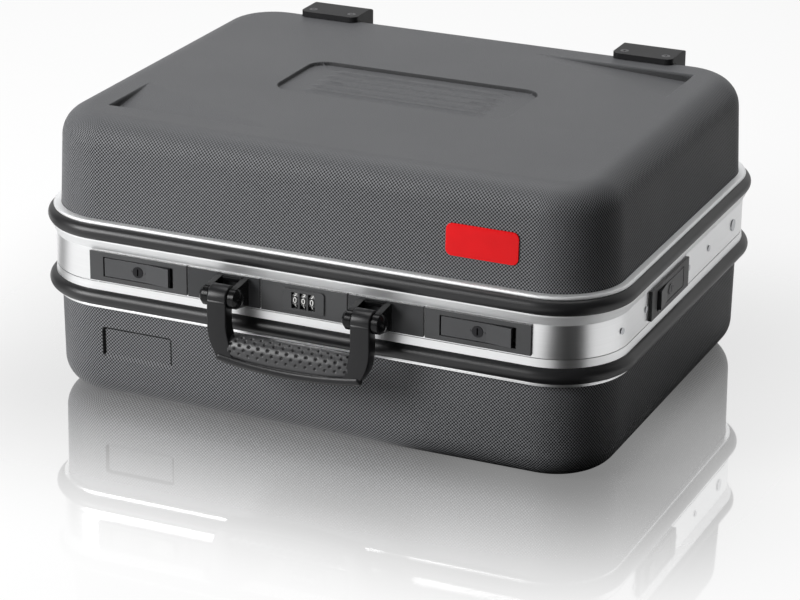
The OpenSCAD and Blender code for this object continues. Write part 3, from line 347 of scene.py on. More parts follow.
def shell_grid(lip_inset, end_inset, height, edge_r, rows, loop):
    """The outside of a shell as a grid: rows run up the sloping wall, round the edge and in
    over the closed end; columns run round the case.

    The wall is a straight line leaning in by end_inset - lip_inset over the height, the edge
    is a quarter circle that touches it, and past the corners' centres the rings shrink as
    rectangles until they close on a line. Gives the points, with heights from the lip,
    each row's length up from the lip, and which rows lie on the closed end.
    """
    feet, ways = loop
    least_step = 0.0003
    lean = math.atan((end_inset - lip_inset) / height)
    arc_x = -end_inset + edge_r * math.tan(lean) - edge_r / math.cos(lean)
    arc_y = height - edge_r
    wall_top = arc_y + edge_r * math.sin(lean)
    wall = rows["wall"][rows["wall"] < wall_top - least_step]
    bend = np.linspace(lean, np.pi / 2, 15)
    over = rows["over"][rows["over"] < arc_x - least_step]
    offset = np.concatenate([-lip_inset - np.tan(lean) * wall, arc_x + edge_r * np.cos(bend), over])
    z = np.concatenate([wall, arc_y + edge_r * np.sin(bend), np.full(len(over), height)])
    shrink = np.concatenate([np.zeros(len(z)), rows["inner"]])
    offset = np.concatenate([offset, np.full(len(rows["inner"]), -corner_r)])
    z = np.concatenate([z, np.full(len(rows["inner"]), height)])
    scale = np.stack([1 - shrink * hy / hx, 1 - shrink], 1)
    xy = feet[None] * scale[:, None] + ways[None] * (corner_r + offset)[:, None, None]
    points = np.concatenate([xy, np.broadcast_to(z[:, None, None], xy.shape[:2] + (1,))], 2)
    inward = -(offset - shrink * hy)
    up_length = np.concatenate([[0], np.cumsum(np.hypot(np.diff(inward), np.diff(z)))])
    return points, up_length, z >= height - 1e-7


def weld(mesh, turn_out=False):
    """Merges doubled points; turn_out also drops slivers and turns the faces outwards."""
    work = bmesh.new()
    work.from_mesh(mesh)
    bmesh.ops.remove_doubles(work, verts=work.verts, dist=merge)
    if turn_out:
        bmesh.ops.dissolve_degenerate(work, edges=work.edges, dist=merge / 10)
        bmesh.ops.recalc_face_normals(work, faces=work.faces)
    work.to_mesh(mesh)
    work.free()


def closed_shell(name, mesh, body, nodes):
    """Welds the line where the rings close, and gives the surface the wall's thickness,
    plastic outside and lining inside."""
    mesh.materials.append(shell_plastic)
    mesh.materials.append(lining_plastic)
    weld(mesh)
    piece = bpy.data.objects.new(name, mesh)
    bpy.context.collection.objects.link(piece)
    wall = piece.modifiers.new("wall", "SOLIDIFY")
    wall.thickness = shell_t
    wall.offset = -1
    wall.use_even_offset = False
    wall.material_offset = 1
    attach(piece, body)
    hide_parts(*nodes)


def toned(colour, factor):
    """A colour made lighter or darker."""
    return (*[c * factor for c in colour], 1)


def object_place(tree):
    """The place on the object, for patterns that stay on it."""
    return tree.nodes.new("ShaderNodeTexCoord").outputs["Object"]


def noise(tree, vector, scale, detail, roughness=0.5):
    """Soft random values of a size and a number of finer layers."""
    node = tree.nodes.new("ShaderNodeTexNoise")
    node.inputs["Scale"].default_value = scale
    node.inputs["Detail"].default_value = detail
    node.inputs["Roughness"].default_value = roughness
    tree.links.new(vector, node.inputs["Vector"])
    return node.outputs["Fac"]


def scaled(tree, value, low, high):
    """Maps 0..1 of a value to low..high in a straight line."""
    node = tree.nodes.new("ShaderNodeMapRange")
    node.inputs["To Min"].default_value = low
    node.inputs["To Max"].default_value = high
    tree.links.new(value, node.inputs["Value"])
    return node.outputs[0]


def point_value(tree, name):
    """A number that the mesh keeps for each point."""
    node = tree.nodes.new("ShaderNodeAttribute")
    node.attribute_name = name
    return node.outputs["Fac"]


def bump(tree, height, strength, depth):
    """A bump from a height of 0 to 1, as deep as given."""
    node = tree.nodes.new("ShaderNodeBump")
    node.inputs["Strength"].default_value = strength
    node.inputs["Distance"].default_value = depth
    tree.links.new(height, node.inputs["Height"])
    return node


def grained_plastic(name, colour, pitch):
    """Black plastic etched with small pyramids that follow the walls, fading to a fine
    random grain where "flat" is 1. Pyramid height is the sum of two triangle waves that
    run across each other at 45 degrees in the UV map. Tips carry a painted highlight and
    valleys painted shade, standing in for the grain's own shading, and the groove value
    paints shade into the pressed-in lines."""
    # The first two factors scale the colour into painted shade in the grain's valleys and a painted
    # highlight on its tips; the third is the even tone of the smooth, flat parts.
    valley_shade, tip_highlight, flat_tone = 0.10, 1.95, 0.46
    material, tree, shader = new_material(name)
    shader.inputs["Specular IOR Level"].default_value = 0.14
    uv = tree.nodes.new("ShaderNodeUVMap")
    uv.uv_map = "UVMap"
    turn = tree.nodes.new("ShaderNodeMapping")
    turn.inputs["Rotation"].default_value = (0, 0, math.radians(45))
    turn.inputs["Scale"].default_value = (1 / pitch, 1 / pitch, 1)
    tree.links.new(uv.outputs[0], turn.inputs["Vector"])
    cross = split(tree, turn.outputs[0])
    waves = [math_node(tree, "PINGPONG", cross[axis], 0.5) for axis in ("X", "Y")]
    pyramid = math_node(tree, "ADD", *waves)
    place = object_place(tree)
    flat = point_value(tree, "flat")
    grain = mix(tree, "FLOAT", flat, pyramid, noise(tree, place, 900, 2))
    on_wall = math_node(tree, "MULTIPLY", between(tree, pyramid, 0.28, 0.72),
                        math_node(tree, "SUBTRACT", 1.0, flat))
    tip = math_node(tree, "ADD", on_wall, math_node(tree, "MULTIPLY", flat, flat_tone))
    # Painted shade: the plastic is taken towards its valley colour in the pressed-in lines and along the
    # recesses' walls.
    unshaded = math_node(tree, "SUBTRACT", 1.0, point_value(tree, "groove"))
    tip = math_node(tree, "MULTIPLY", tip, unshaded)
    # Painted light and shade: the pyramids' tips are painted pale and their valleys near black, and the
    # pressed-in lines take painted shade.
    shade = mix(tree, "RGBA", tip, toned(colour, valley_shade), toned(colour, tip_highlight))
    tree.links.new(shade, shader.inputs["Base Color"])
    rough = scaled(tree, noise(tree, place, 14, 3), 0.38, 0.50)
    tree.links.new(rough, shader.inputs["Roughness"])
    relief = bump(tree, grain, 0.8, 0.00035)
    tree.links.new(relief.outputs[0], shader.inputs["Normal"])
    return material


def moulded(name, colour, rough, grain, depth, specular=0.5):
    """Moulded rubber or plastic: a fine speckle in roughness and bump, a slow drift of
    tone from handling, and edges rounded by 0.4 mm."""
    material, tree, shader = new_material(name)
    shader.inputs["Specular IOR Level"].default_value = specular
    place = object_place(tree)
    speck = noise(tree, place, grain, 3)
    drift = noise(tree, place, 25, 4)
    tone = mix(tree, "RGBA", drift, toned(colour, 0.8), toned(colour, 1.2))
    tree.links.new(tone, shader.inputs["Base Color"])
    tree.links.new(scaled(tree, drift, rough - 0.06, rough + 0.06), shader.inputs["Roughness"])
    edge = tree.nodes.new("ShaderNodeBevel")
    edge.inputs["Radius"].default_value = 0.0004
    edge.samples = 4
    relief = bump(tree, speck, 0.4, depth)
    tree.links.new(edge.outputs[0], relief.inputs["Normal"])
    tree.links.new(relief.outputs[0], shader.inputs["Normal"])
    return material


shell_plastic = grained_plastic("shell_plastic", (0.109, 0.111, 0.116), pitch=0.0020)
lining_plastic = moulded("lining_plastic", (0.03, 0.03, 0.032), rough=0.45, grain=900, depth=0.00004)
base_lip_z = base_h - 0.0086
label_x, label_z, label_w, label_h, label_r = -0.148, 0.0495, 0.061, 0.026, 0.003
label_depth, groove_depth, fine_step = 0.0018, 0.0012, 0.0005


def edge_marks(edge, inward):
    """A span of fine marks from 1 mm outside an edge of the label recess to 4 mm inside."""
    ends = sorted((edge - inward * 0.001, edge + inward * 0.004))
    return ends[0], ends[1], fine_step


label_top = base_lip_z - label_z - label_h / 2
label_foot = base_lip_z - label_z + label_h / 2
label_marks = [edge_marks(label_x - label_w / 2, 1), edge_marks(label_x + label_w / 2, -1)]
feet, ways, around, loop_length = round_path(
    marks(-hx, hx, 0.006, label_marks), marks(-hy, hy, 0.006, []), corner_steps=15)
base_rows = {
    "wall": marks(0, base_lip_z, 0.005, [edge_marks(label_top, 1), edge_marks(label_foot, -1)]),
    "over": -np.linspace(0.036, 0.060, 6),
    "inner": np.linspace(0, 1, 14),
}
points, up_length, flat_rows = shell_grid(
    lip_inset=0.0095, end_inset=0.0108, height=base_lip_z, edge_r=0.023,
    rows=base_rows, loop=(feet, ways))
points[..., 2] = base_lip_z - points[..., 2]
on_front = points[..., 1] < -case_d / 2 + 0.012
label_across, label_up = points[..., 0] - label_x, points[..., 2] - label_z
inside = -box_distance(label_across, label_up, label_w / 2, label_h / 2, label_r)
above = points[..., 2] - label_z + label_h / 2
sides = soft_step(above - 0.002, 0.002)
sunk = label_depth * soft_step(inside, 0.0009) * np.clip(above / 0.0035, 0, 1)
sunk += groove_depth * soft_step(inside, 0.0007) * soft_step(0.0019 - inside, 0.0007) * sides
points[..., 1] += sunk * on_front
# Painted shade in the groove round the label recess, along its sides and top, where the material takes the
# plastic to near black.
recess_shade = soft_step(inside + 0.0005, 0.0005) * soft_step(0.0020 - inside, 0.0006) * sides * on_front
uv = np.stack(np.broadcast_arrays(around[None], up_length[:, None]), -1)
mesh = grid_mesh("base_tub", points, uv, loop_length)
point_values(mesh, "flat", np.broadcast_to(flat_rows[:, None].astype(float), points.shape[:2]))
point_values(mesh, "groove", recess_shade)
mesh.flip_normals()
closed_shell("base_tub", mesh, "base", ["base_shell"])

# ---- Frames --------------------------------------------------------------
# Two drawn aluminium sections, bent round the corners and brushed along their
# length; each holds a shell's lip, a bumper and, on the lid, the locks' plates.


def brushed_metal(name, colour, rough, stretch, depth, matt_from=None):
    """Metal with fine scratches: noise, stretched as given along X, Y and Z, drives
    roughness, bump and tone, so that a large Z draws level lines round the piece. The
    metal is matt above the height matt_from."""
    material, tree, shader = new_material(name)
    shader.inputs["Metallic"].default_value = 1
    place = object_place(tree)
    turn = tree.nodes.new("ShaderNodeMapping")
    turn.inputs["Scale"].default_value = stretch
    tree.links.new(place, turn.inputs["Vector"])
    scratch = noise(tree, turn.outputs[0], 1, 6, 0.7)
    scratched = scaled(tree, scratch, *rough)
    if matt_from is not None:
        matt = between(tree, split(tree, place)["Z"], matt_from, matt_from + 0.001, 0.0, 0.34)
        scratched = math_node(tree, "ADD", scratched, matt)
    tree.links.new(scratched, shader.inputs["Roughness"])
    tone = mix(tree, "RGBA", scratch, toned(colour, 0.86), toned(colour, 1))
    tree.links.new(tone, shader.inputs["Base Color"])
    relief = bump(tree, scratch, 0.5, depth)
    tree.links.new(relief.outputs[0], shader.inputs["Normal"])
    return material


def finish(name, material):
    """Gives a CAD piece its own finish."""
    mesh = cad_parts[name].data
    mesh.materials.clear()
    mesh.materials.append(material)


lip_z = base_h + 0.0262
frame_metal = brushed_metal("frame_metal", (0.95, 0.955, 0.96), rough=(0.24, 0.36),
                            stretch=(3, 3, 1400), depth=0.00002, matt_from=lip_z)
finish("base_frame", frame_metal)
finish("lid_frame", frame_metal)

# ---- Bumpers -------------------------------------------------------------
# Half-round strips of black soft plastic, pressed into the frames' outer grooves
# and butted at the back; they shine softly along their crowns.

bumper_r, bumper_seat, back_corner = 0.0065, 0.0004, 0.0002
band_inset = 0.006
bumper_black = moulded("bumper_black", (0.012, 0.012, 0.013), rough=0.38, grain=1500, depth=0.00002)


def bumper_strip(name, body, node, middle_z):
    """A half-round section carried round the case: its points are the middle plus the radius
    in each direction of a half circle, closed behind by a flat with small rounded corners."""
    feet, ways, around, loop_length = round_path(
        marks(-hx, hx, 0.01, []), marks(-hy, hy, 0.01, []), corner_steps=23)
    sweep = np.linspace(-np.pi / 2, np.pi / 2, 25)
    out = np.concatenate([bumper_r * np.cos(sweep), [back_corner, 0, 0]])
    rise = np.concatenate([bumper_r * np.sin(sweep), [bumper_r - back_corner, 0, -bumper_r + back_corner]])
    offset = -band_inset - bumper_seat + out
    xy = feet[None] + ways[None] * (corner_r + offset)[:, None, None]
    z = np.broadcast_to((middle_z + rise)[:, None, None], xy.shape[:2] + (1,))
    points = np.concatenate([xy, z], 2)
    points = np.concatenate([points, points[:1]])
    uv = np.stack(np.broadcast_arrays(around[None], np.linspace(0, 0.03, len(points))[:, None]), -1)
    mesh = grid_mesh(name, points, uv, loop_length)
    weld(mesh)
    mesh.materials.append(bumper_black)
    piece = bpy.data.objects.new(name, mesh)
    bpy.context.collection.objects.link(piece)
    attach(piece, body)
    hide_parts(node)


bumper_strip("lower_bumper_strip", "base", "base_bumper", base_h - 0.013)
bumper_strip("upper_bumper_strip", "lid", "lid_bumper", base_h + 0.0408)

# ---- Lid shell -----------------------------------------------------------
# The upper shell is formed like the tub, with a deeper rounded edge; its top has a
# ribbed panel in the middle and two ramped corners where stacked cases interlock.

lid_top = 0.230
lid_lip_z = base_h + 0.0364
panel_x, panel_y, panel_r, panel_depth = 0.100, 0.042, 0.016, 0.0028
rib_pitch, rib_half, rib_end, rib_height = 0.013, 0.0028, 0.080, 0.0015
ramp_x, ramp_y = case_w / 2 - 0.052, case_d / 2 - 0.0545
ramp_w, ramp_d, ramp_sink = 0.140, 0.066, 0.007
fine_x = [(-hx, -0.155, 0.0018), (0.155, hx, 0.0018), (-0.06, -0.046, 0.0035), (0.046, 0.06, 0.0035)]
fine_y = [(-hy, -0.066, 0.004), (0.066, hy, 0.004)]
lid_rows = {
    "wall": np.linspace(0, 0.08, 8),
    "over": -np.concatenate([np.linspace(0.0385, 0.050, 6), np.arange(0.0506, 0.0570, 0.0004),
                             np.linspace(0.058, 0.0612, 3)]),
    "inner": marks(0, 1, 0.035, [(0.06, 0.2, 0.014), (0.622, 0.70, 0.004), (0.78, 1, 0.0076)]),
}
feet, ways, around, loop_length = round_path(
    marks(-hx, hx, 0.0065, fine_x), marks(-hy, hy, 0.0065, fine_y), corner_steps=15)
points, up_length, flat_rows = shell_grid(
    lip_inset=0.0101, end_inset=0.014, height=lid_top - lid_lip_z, edge_r=0.024,
    rows=lid_rows, loop=(feet, ways))
points[..., 2] += lid_lip_z
top = flat_rows[:, None] & np.ones(points.shape[:2], bool)


def ramp_depth(x, y):
    """Depth of a ramped corner: 7 mm in its right-angled corner, level with the top along
    the line that joins its legs' ends; the leg walls are steep soft steps."""
    along = (x + ramp_x) / ramp_w
    across = (y + ramp_y) / ramp_d
    depth = ramp_sink * np.clip(1 - along - across, 0, None)
    return depth * soft_step(along * ramp_w, 0.0012) * soft_step(across * ramp_d, 0.0012)


def edge_band(inside):
    """1 along a step's wall, from its upper edge to 1.6 mm inside it, soft at both sides."""
    return soft_step(inside + 0.0004, 0.0008) * soft_step(0.0020 - inside, 0.0008)


x, y = points[..., 0], points[..., 1]
in_panel = -box_distance(x, y, panel_x, panel_y, panel_r)
sink = ramp_depth(x, y) + ramp_depth(-x, -y)
sink += panel_depth * soft_step(in_panel, 0.0013)
for rib in range(-2, 3):
    across_rib = soft_step(rib_half - np.abs(y - rib * rib_pitch), 0.0011)
    sink -= rib_height * across_rib * soft_step(rib_end - np.abs(x), 0.013)
# Painted shade along the walls of the ribbed panel and of the ramped corners, where the top steps down.
recess_shade = edge_band(in_panel)
for sign in (1, -1):
    deep = soft_step(ramp_depth(sign * x, sign * y), 0.003)
    recess_shade += deep * edge_band(sign * x + ramp_x)
    recess_shade += deep * edge_band(sign * y + ramp_y)
recess_shade = 0.8 * np.clip(recess_shade, 0, 1) * top
points[..., 2] -= np.where(top, sink, 0)
uv = np.stack(np.broadcast_arrays(around[None], up_length[:, None]), -1)
crown = np.clip((points[..., 2] - (lid_top - 0.012)) / 0.012, 0, 1) * ~top + top
mesh = grid_mesh("lid_shell_skin", points, uv, loop_length)
point_values(mesh, "flat", crown)
point_values(mesh, "groove", recess_shade)
closed_shell("lid_shell_skin", mesh, "lid", ["lid_shell"])

# ---- Feet and their screws ----------------------------------------------
# Moulded black feet are screwed over the rear edges, so that the case can
# stand on its back; each screw is a blackened pan head.

foot_plastic = moulded("foot_plastic", (0.014, 0.014, 0.015), rough=0.50, grain=1100, depth=0.00004,
                       specular=0.22)
finish("base_feet", foot_plastic)
finish("lid_feet", foot_plastic)
blackened = brushed_metal("blackened_steel", (0.11, 0.11, 0.115), rough=(0.30, 0.42),
                          stretch=(260, 260, 260), depth=0.00002)
finish("base_foot_screws", blackened)
finish("lid_foot_screws", blackened)

# ---- Hinges, stays and keepers -------------------------------------------
# Pressed steel leaves are riveted to the rear bands and turn on steel pins; slotted
# arms inside stop the lid upright; the keepers are bent plates behind the front.

zinc = brushed_metal("zinc", (0.62, 0.63, 0.65), rough=(0.28, 0.42),
                     stretch=(260, 260, 260), depth=0.00002)
for name in ("hinge_base_leaves", "hinge_lid_leaves", "hinge_base_rivets", "hinge_lid_rivets", "hinge_pins",
             "stay_posts", "stay_studs", "stay_arm_left", "stay_arm_right", "frame_rivets",
             "keeper_front_left", "keeper_front_right", "keeper_left", "keeper_right", "keeper_rivets"):
    finish(name, zinc)

# ---- Lock plates and levers ---------------------------------------------
# Dark grey moulded plates lie on the band; each holds a rocking lever with a
# key cylinder in its middle and a steel hook behind.

plate_grey = moulded("plate_grey", (0.050, 0.051, 0.053), rough=0.42, grain=1800, depth=0.00004)
lever_grey = moulded("lever_grey", (0.056, 0.057, 0.060), rough=0.38, grain=1800, depth=0.00003)
nickel = brushed_metal("nickel", (0.035, 0.035, 0.037), rough=(0.25, 0.4),
                       stretch=(400, 400, 400), depth=0.00002)
for place in ("front_left", "front_right", "left", "right"):
    finish("lock_plate_" + place, plate_grey)
    finish("lever_" + place, lever_grey)
    finish("hook_" + place, zinc)
    finish("key_" + place, nickel)

# ---- Handle brackets -----------------------------------------------------
# Moulded brackets, black at their two domed ears and dark grey where they lie on
# the band, carry the handle's steel pins.

ear_y, plate_y = -0.1912, -0.1892
bracket_black = moulded("bracket_black", (0.004, 0.004, 0.0045), rough=0.24, grain=1500, depth=0.00001,
                        specular=0.25)
tree = bracket_black.node_tree
skin_colour = tree.nodes["Principled BSDF"].inputs["Base Color"]
on_band = between(tree, split(tree, object_place(tree))["Y"], ear_y, plate_y)
two_tone = mix(tree, "RGBA", on_band, skin_colour.links[0].from_socket, (0.045, 0.046, 0.048, 1))
tree.links.new(two_tone, skin_colour)
finish("handle_bracket_left", bracket_black)
finish("handle_bracket_right", bracket_black)
finish("handle_pins", zinc)

# ---- Combination lock ----------------------------------------------------
# A plate with three windows; behind it three black wheels with white numbers
# turn on a steel axle in a pressed box.

finish("combination_plate", plate_grey)
finish("combination_body", zinc)
finish("combination_axle", zinc)
wheel_black = moulded("wheel_black", (0.012, 0.012, 0.013), rough=0.35, grain=1500, depth=0.00002)
for number in (1, 2, 3):
    finish("combination_wheel_%d" % number, wheel_black)

# ---- Handle --------------------------------------------------------------
# One moulding of black nylon: two flat arms that lean in towards their feet, round
# knuckles at their tops, and a rolled bead along the bowed underside.

handle_black = moulded("handle_black", (0.009, 0.009, 0.010), rough=0.34, grain=1300, depth=0.00002,
                       specular=0.33)
band_y = -(case_d / 2 - band_inset)
pivot_y, pivot_z = band_y - 0.022, base_h + 0.015
knuckle_r = 0.0096
handle_front = pivot_y - knuckle_r
handle_low = pivot_z - 0.054
arm_outer, arm_inner = 0.0675, 0.0516


def joined(name, points, body, node, material):
    """A closed piece from a grid whose columns close on themselves and whose first and last
    rows are single points; the doubled points are merged and the faces turned outwards."""
    mesh = grid_mesh(name, points, np.zeros(points.shape[:2] + (2,)), 0)
    weld(mesh, turn_out=True)
    mesh.materials.append(material)
    piece = bpy.data.objects.new(name, mesh)
    bpy.context.collection.objects.link(piece)
    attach(piece, body)
    if node:
        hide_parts(node)


def capped(rings):
    """The rings with a single middle point before the first and after the last."""
    first = np.repeat(rings[:1].mean(1, keepdims=True), rings.shape[1], 1)
    last = np.repeat(rings[-1:].mean(1, keepdims=True), rings.shape[1], 1)
    return np.concatenate([first, rings, last])


def rounded_section(width, depth, radius, steps):
    """A rectangle 0..width by 0..depth: each corner is a quarter circle of the radius.
    Columns of widths and depths give one section a row."""
    turn = np.linspace(0, np.pi / 2, steps)
    along, into = [], []
    for mx, my, start in ((0, 0, np.pi), (1, 0, 1.5 * np.pi), (1, 1, 0), (0, 1, 0.5 * np.pi)):
        along.append(radius + mx * (width - 2 * radius) + radius * np.cos(start + turn))
        into.append(radius + my * (depth - 2 * radius) + radius * np.sin(start + turn))
    return np.concatenate(along, -1), np.concatenate(into, -1)


def bow_z(x):
    """Height of the bowed underside: a shallow parabola z = low + x^2 / (2 * 344.5 mm)."""
    return handle_low + x ** 2 / 0.689


def handle_edges():
    """Outer and inner edges of the right half seen from the front, as matching points.

    Outside: a straight side, an arc of 42 mm that turns in, a curve round the foot and the
    bow. Inside: x = arm_inner - 4.4 mm * soft_step, a round of 3 mm at the pad's corner, and
    a line that rises from 7.5 mm above the bow's lowest point.
    """
    side_r, foot_x, pad_r = 0.042, 0.0535, 0.003
    turn = np.linspace(0, math.radians(39), 14)
    side_x = np.concatenate([np.full(8, arm_outer), arm_outer - side_r + side_r * np.cos(turn)])
    side_z = np.concatenate([np.linspace(pivot_z, handle_low + 0.0345, 8),
                             handle_low + 0.033 - side_r * np.sin(turn)])
    t = np.linspace(0, 1, 8)[1:, None]
    start, end = np.array([side_x[-1], side_z[-1]]), np.array([foot_x, bow_z(foot_x)])
    mid = np.array([start[0] - 0.0022, end[1] + 0.0002])
    foot = (1 - t) ** 2 * start + 2 * t * (1 - t) * mid + t ** 2 * end
    bow = np.linspace(end[0], 0, 18)[1:]
    outer = np.concatenate([np.stack([side_x, side_z], 1), foot, np.stack([bow, bow_z(bow)], 1)])
    floor_z = handle_low + 0.0125
    inner_side = np.stack([arm_inner - 0.0044 * soft_step(pivot_z - 0.019 - side_z, 0.026),
                           np.maximum(side_z, floor_z)], 1)
    curl = np.linspace(0, np.pi / 2, 8)[1:]
    corner = np.stack([inner_side[-1, 0] - pad_r + pad_r * np.cos(curl), floor_z - pad_r * np.sin(curl)], 1)
    share = bow / end[0]
    rest = np.stack([corner[-1, 0] * share, handle_low + 0.0075 + 0.002 * share ** 2], 1)
    return outer, np.concatenate([inner_side, corner, rest])


outer, inner = handle_edges()
outer = np.concatenate([outer, (outer * [-1, 1])[-2::-1]])
inner = np.concatenate([inner, (inner * [-1, 1])[-2::-1]])
across = outer - inner
width = np.linalg.norm(across, axis=1)[:, None]
ways = across / width
thick = 0.012 + 0.003 * soft_step(handle_low + 0.030 - outer[:, 1:], 0.02)
u, v = rounded_section(width, thick, radius=0.0011, steps=6)
rings = np.stack([inner[:, :1] + ways[:, :1] * u, handle_front + v, inner[:, 1:] + ways[:, 1:] * u], -1)
joined("handle_bow", capped(rings), "handle", "handle_frame", handle_black)


def round_bar(name, path, radius):
    """A bar of changing radius along a path in x and z: each ring is the path's point plus
    radius * (cos, sin) across the path and towards the front."""
    step = np.gradient(path, axis=0)
    step /= np.linalg.norm(step, axis=1, keepdims=True)
    normal = np.stack([-step[:, 2], np.zeros(len(step)), step[:, 0]], 1)
    spin = np.linspace(0, 2 * np.pi, 33)[:-1]
    rings = path[:, None] + radius[:, None, None] * (
        np.cos(spin)[None, :, None] * normal[:, None] + np.sin(spin)[None, :, None] * np.array([0, 1, 0]))
    joined(name, capped(rings), "handle", None, handle_black)


bead_r, bead_half, bead_end = 0.0037, 0.0565, 0.0034
dome = np.linspace(0.06, 1, 8) * np.pi / 2
left_end = -bead_half - 0.001 - bead_end * np.cos(dome)
along = np.concatenate([left_end, np.linspace(-bead_half, bead_half, 44), -left_end[::-1]])
radius = np.concatenate([bead_r * np.sin(dome), np.full(44, bead_r), bead_r * np.sin(dome[::-1])])
bead = np.stack([along, np.full(len(along), handle_front + 0.0025), bow_z(along) + bead_r], 1)
round_bar("handle_bead", bead, radius)
knuckle_half, knuckle_x, rim_r = (arm_outer - arm_inner) / 2, (arm_outer + arm_inner) / 2, 0.0012
rim = np.linspace(0, np.pi / 2, 6)
along = np.concatenate([-knuckle_half + rim_r - rim_r * np.cos(rim),
                        knuckle_half - rim_r + rim_r * np.sin(rim)])
radius = knuckle_r - rim_r + rim_r * np.concatenate([np.sin(rim), np.cos(rim)])
for name, sign in (("handle_knuckle_left", -1), ("handle_knuckle_right", 1)):
    path = np.stack([along + sign * knuckle_x, np.full(12, pivot_y), np.full(12, pivot_z)], 1)
    round_bar(name, path, radius)

# ---- Grip pad ------------------------------------------------------------
# A soft dark rubber cushion is moulded round the bar between the arms; it swells
# towards the front and has five staggered rows of round dimples.

grip_rubber = moulded("grip_rubber", (0.046, 0.046, 0.048), rough=0.38, grain=1300, depth=0.00004)
pad_half = 0.0502
dimple_r, dimple_depth, dimple_pitch = 0.0017, 0.0017, 0.008
first_row, row_turn = math.radians(71), math.radians(19.5)
stations = np.concatenate([[-pad_half], np.arange(-pad_half + 0.0003, pad_half, 0.00045), [pad_half]])
front_turn = np.radians(np.concatenate([np.linspace(-78, 92, 86), np.linspace(92, 282, 26)[1:-1]]))
x, turn = np.meshgrid(stations, front_turn, indexing="ij")
end_share = np.abs(x) / pad_half
swell = 0.0115 - 0.0022 * end_share ** 3
middle_y = handle_front + 0.0096 - 0.0004 * end_share ** 2
middle_z = handle_low + 0.0146 + 0.0012 * end_share ** 2


def dimples(x, turn, swell):
    """Depth of the dimples: bowls 1.7 mm deep, depth * (1 - (r / 1.7 mm)^2)^2, every 8 mm in
    rows 19.5 degrees apart, each row half a pitch along from the next."""
    row = np.clip(np.round((first_row - turn) / row_turn), 0, 4)
    shift = np.where(row % 2 == 1, dimple_pitch / 2, 0)
    nearest = np.round((x - shift) / dimple_pitch) * dimple_pitch + shift
    down = (first_row - turn - row * row_turn) * swell
    apart = np.hypot(x - nearest, down) / dimple_r
    bowl = dimple_depth * np.clip(1 - apart ** 2, 0, None) ** 2
    return bowl * (np.abs(nearest) < pad_half - 0.002)


into, rise = np.cos(turn), np.sin(turn)
back_reach = ((np.abs(into) / 0.0056) ** 4 + (np.abs(rise) / swell) ** 4) ** -0.25
reach = np.where(into >= 0, swell, back_reach) - dimples(x, turn, swell)
points = np.stack([x, middle_y - reach * into, middle_z + reach * rise], -1)
joined("grip_pad", capped(points), "handle", "handle_grip", grip_rubber)

# ---- Numbers on the wheels -----------------------------------------------
# White numbers from 0 to 9 are printed round each wheel, 36 degrees apart, with
# 0 to the front.

number_white = moulded("number_white", (0.80, 0.80, 0.78), rough=0.45, grain=1500, depth=0.00001)
wheel_r, wheel_y, wheel_z, wheel_pitch = 0.0084, band_y + 0.005, base_h + 0.014, 0.007
number_size, ink, ink_lift = 0.0065, 0.00004, 0.00003


def number_mesh(number):
    """A number as a thin flat mesh, cut level every 0.5 mm so that it can be bent."""
    curve = bpy.data.curves.new("number", "FONT")
    curve.body = str(number)
    curve.size = number_size
    curve.extrude = ink
    curve.offset = 2 * ink
    curve.resolution_u = 3
    curve.align_x = "CENTER"
    curve.align_y = "CENTER"
    holder = bpy.data.objects.new("number", curve)
    mesh = bpy.data.meshes.new_from_object(holder)
    bpy.data.objects.remove(holder)
    cut = bmesh.new()
    cut.from_mesh(mesh)
    for height in np.arange(-0.003, 0.0031, 0.0005):
        bmesh.ops.bisect_plane(cut, geom=cut.verts[:] + cut.edges[:] + cut.faces[:],
                               plane_co=(0, height, 0), plane_no=(0, 1, 0))
    bmesh.ops.remove_doubles(cut, verts=cut.verts, dist=1e-7)
    cut.to_mesh(mesh)
    cut.free()
    return mesh


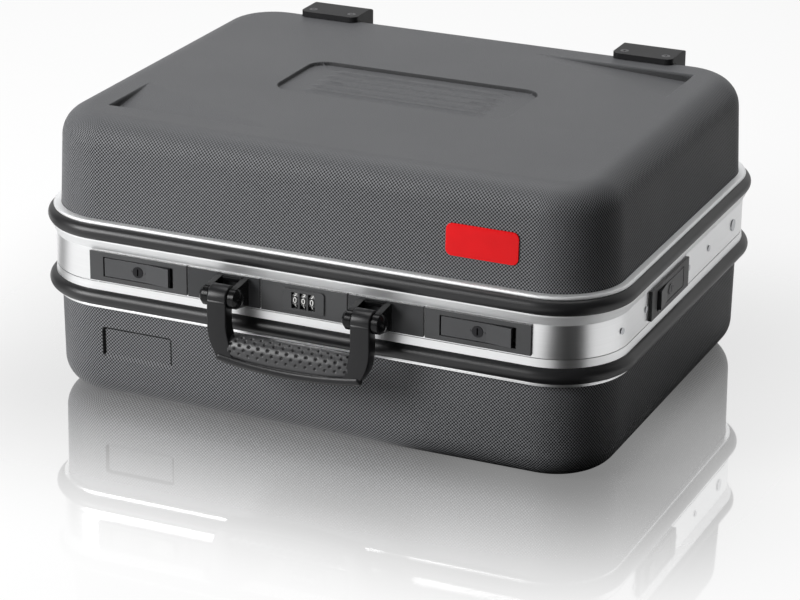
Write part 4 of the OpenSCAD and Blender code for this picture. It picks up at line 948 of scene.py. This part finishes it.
for wheel in (1, 2, 3):
    printed = bmesh.new()
    for number in range(10):
        mesh = number_mesh(number)
        flat = np.empty(len(mesh.vertices) * 3)
        mesh.vertices.foreach_get("co", flat)
        flat = flat.reshape(-1, 3)
        turn = math.radians(-36 * number) + flat[:, 1] / wheel_r
        radius = wheel_r + ink_lift + flat[:, 2]
        bent = np.stack([flat[:, 0] + (wheel - 2) * wheel_pitch, wheel_y - radius * np.cos(turn),
                         wheel_z + radius * np.sin(turn)], 1)
        mesh.vertices.foreach_set("co", bent.reshape(-1))
        printed.from_mesh(mesh)
        bpy.data.meshes.remove(mesh)
    mesh = bpy.data.meshes.new("wheel_numbers_%d" % wheel)
    printed.to_mesh(mesh)
    printed.free()
    mesh.materials.append(number_white)
    piece = bpy.data.objects.new("wheel_numbers_%d" % wheel, mesh)
    bpy.context.collection.objects.link(piece)
    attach(piece, "wheel_%d" % wheel)

# ---- Badge ---------------------------------------------------------------
# A plain plate with rounded corners, glossy red with a slightly domed face, is glued
# to the lid's front and leans back with its wall.

enamel_red = moulded("enamel_red", (0.76, 0.002, 0.005), rough=0.22, grain=700, depth=0.00001, specular=0.2)
badge_x, badge_z, badge_w, badge_h = 0.141, base_h + 0.080, 0.058, 0.025
wall_slope = 0.0039 / 0.0916
edge_t, dome_t = 0.0005, 0.0006
corner_x, corner_z = rounded_section(badge_w, badge_h, radius=0.005, steps=9)
corner_x, corner_z = corner_x - badge_w / 2, corner_z - badge_h / 2
bend, face = np.linspace(0, np.pi / 2, 6), np.linspace(0.955, 0.02, 14)
size = np.concatenate([[1.0, 1.0], 1 - 0.022 * (1 - np.cos(bend)), face])
depth = np.concatenate([[-0.0003, edge_t], edge_t + edge_t * np.sin(bend),
                        2 * edge_t + dome_t * (1 - face ** 2)])
inset = (1 - size) * badge_h / 2
narrower = 2 * inset / badge_w * np.where(size > 0.9, 1, badge_w / badge_h)
x = badge_x + corner_x[None] * (1 - narrower[:, None])
z = badge_z + corner_z[None] * size[:, None]
wall_y = -case_d / 2 + 0.0101 + (z - lid_lip_z) * wall_slope
points = np.stack([x, wall_y - depth[:, None], z], -1)
joined("badge_plate", capped(points), "lid", "lid_badge", enamel_red)
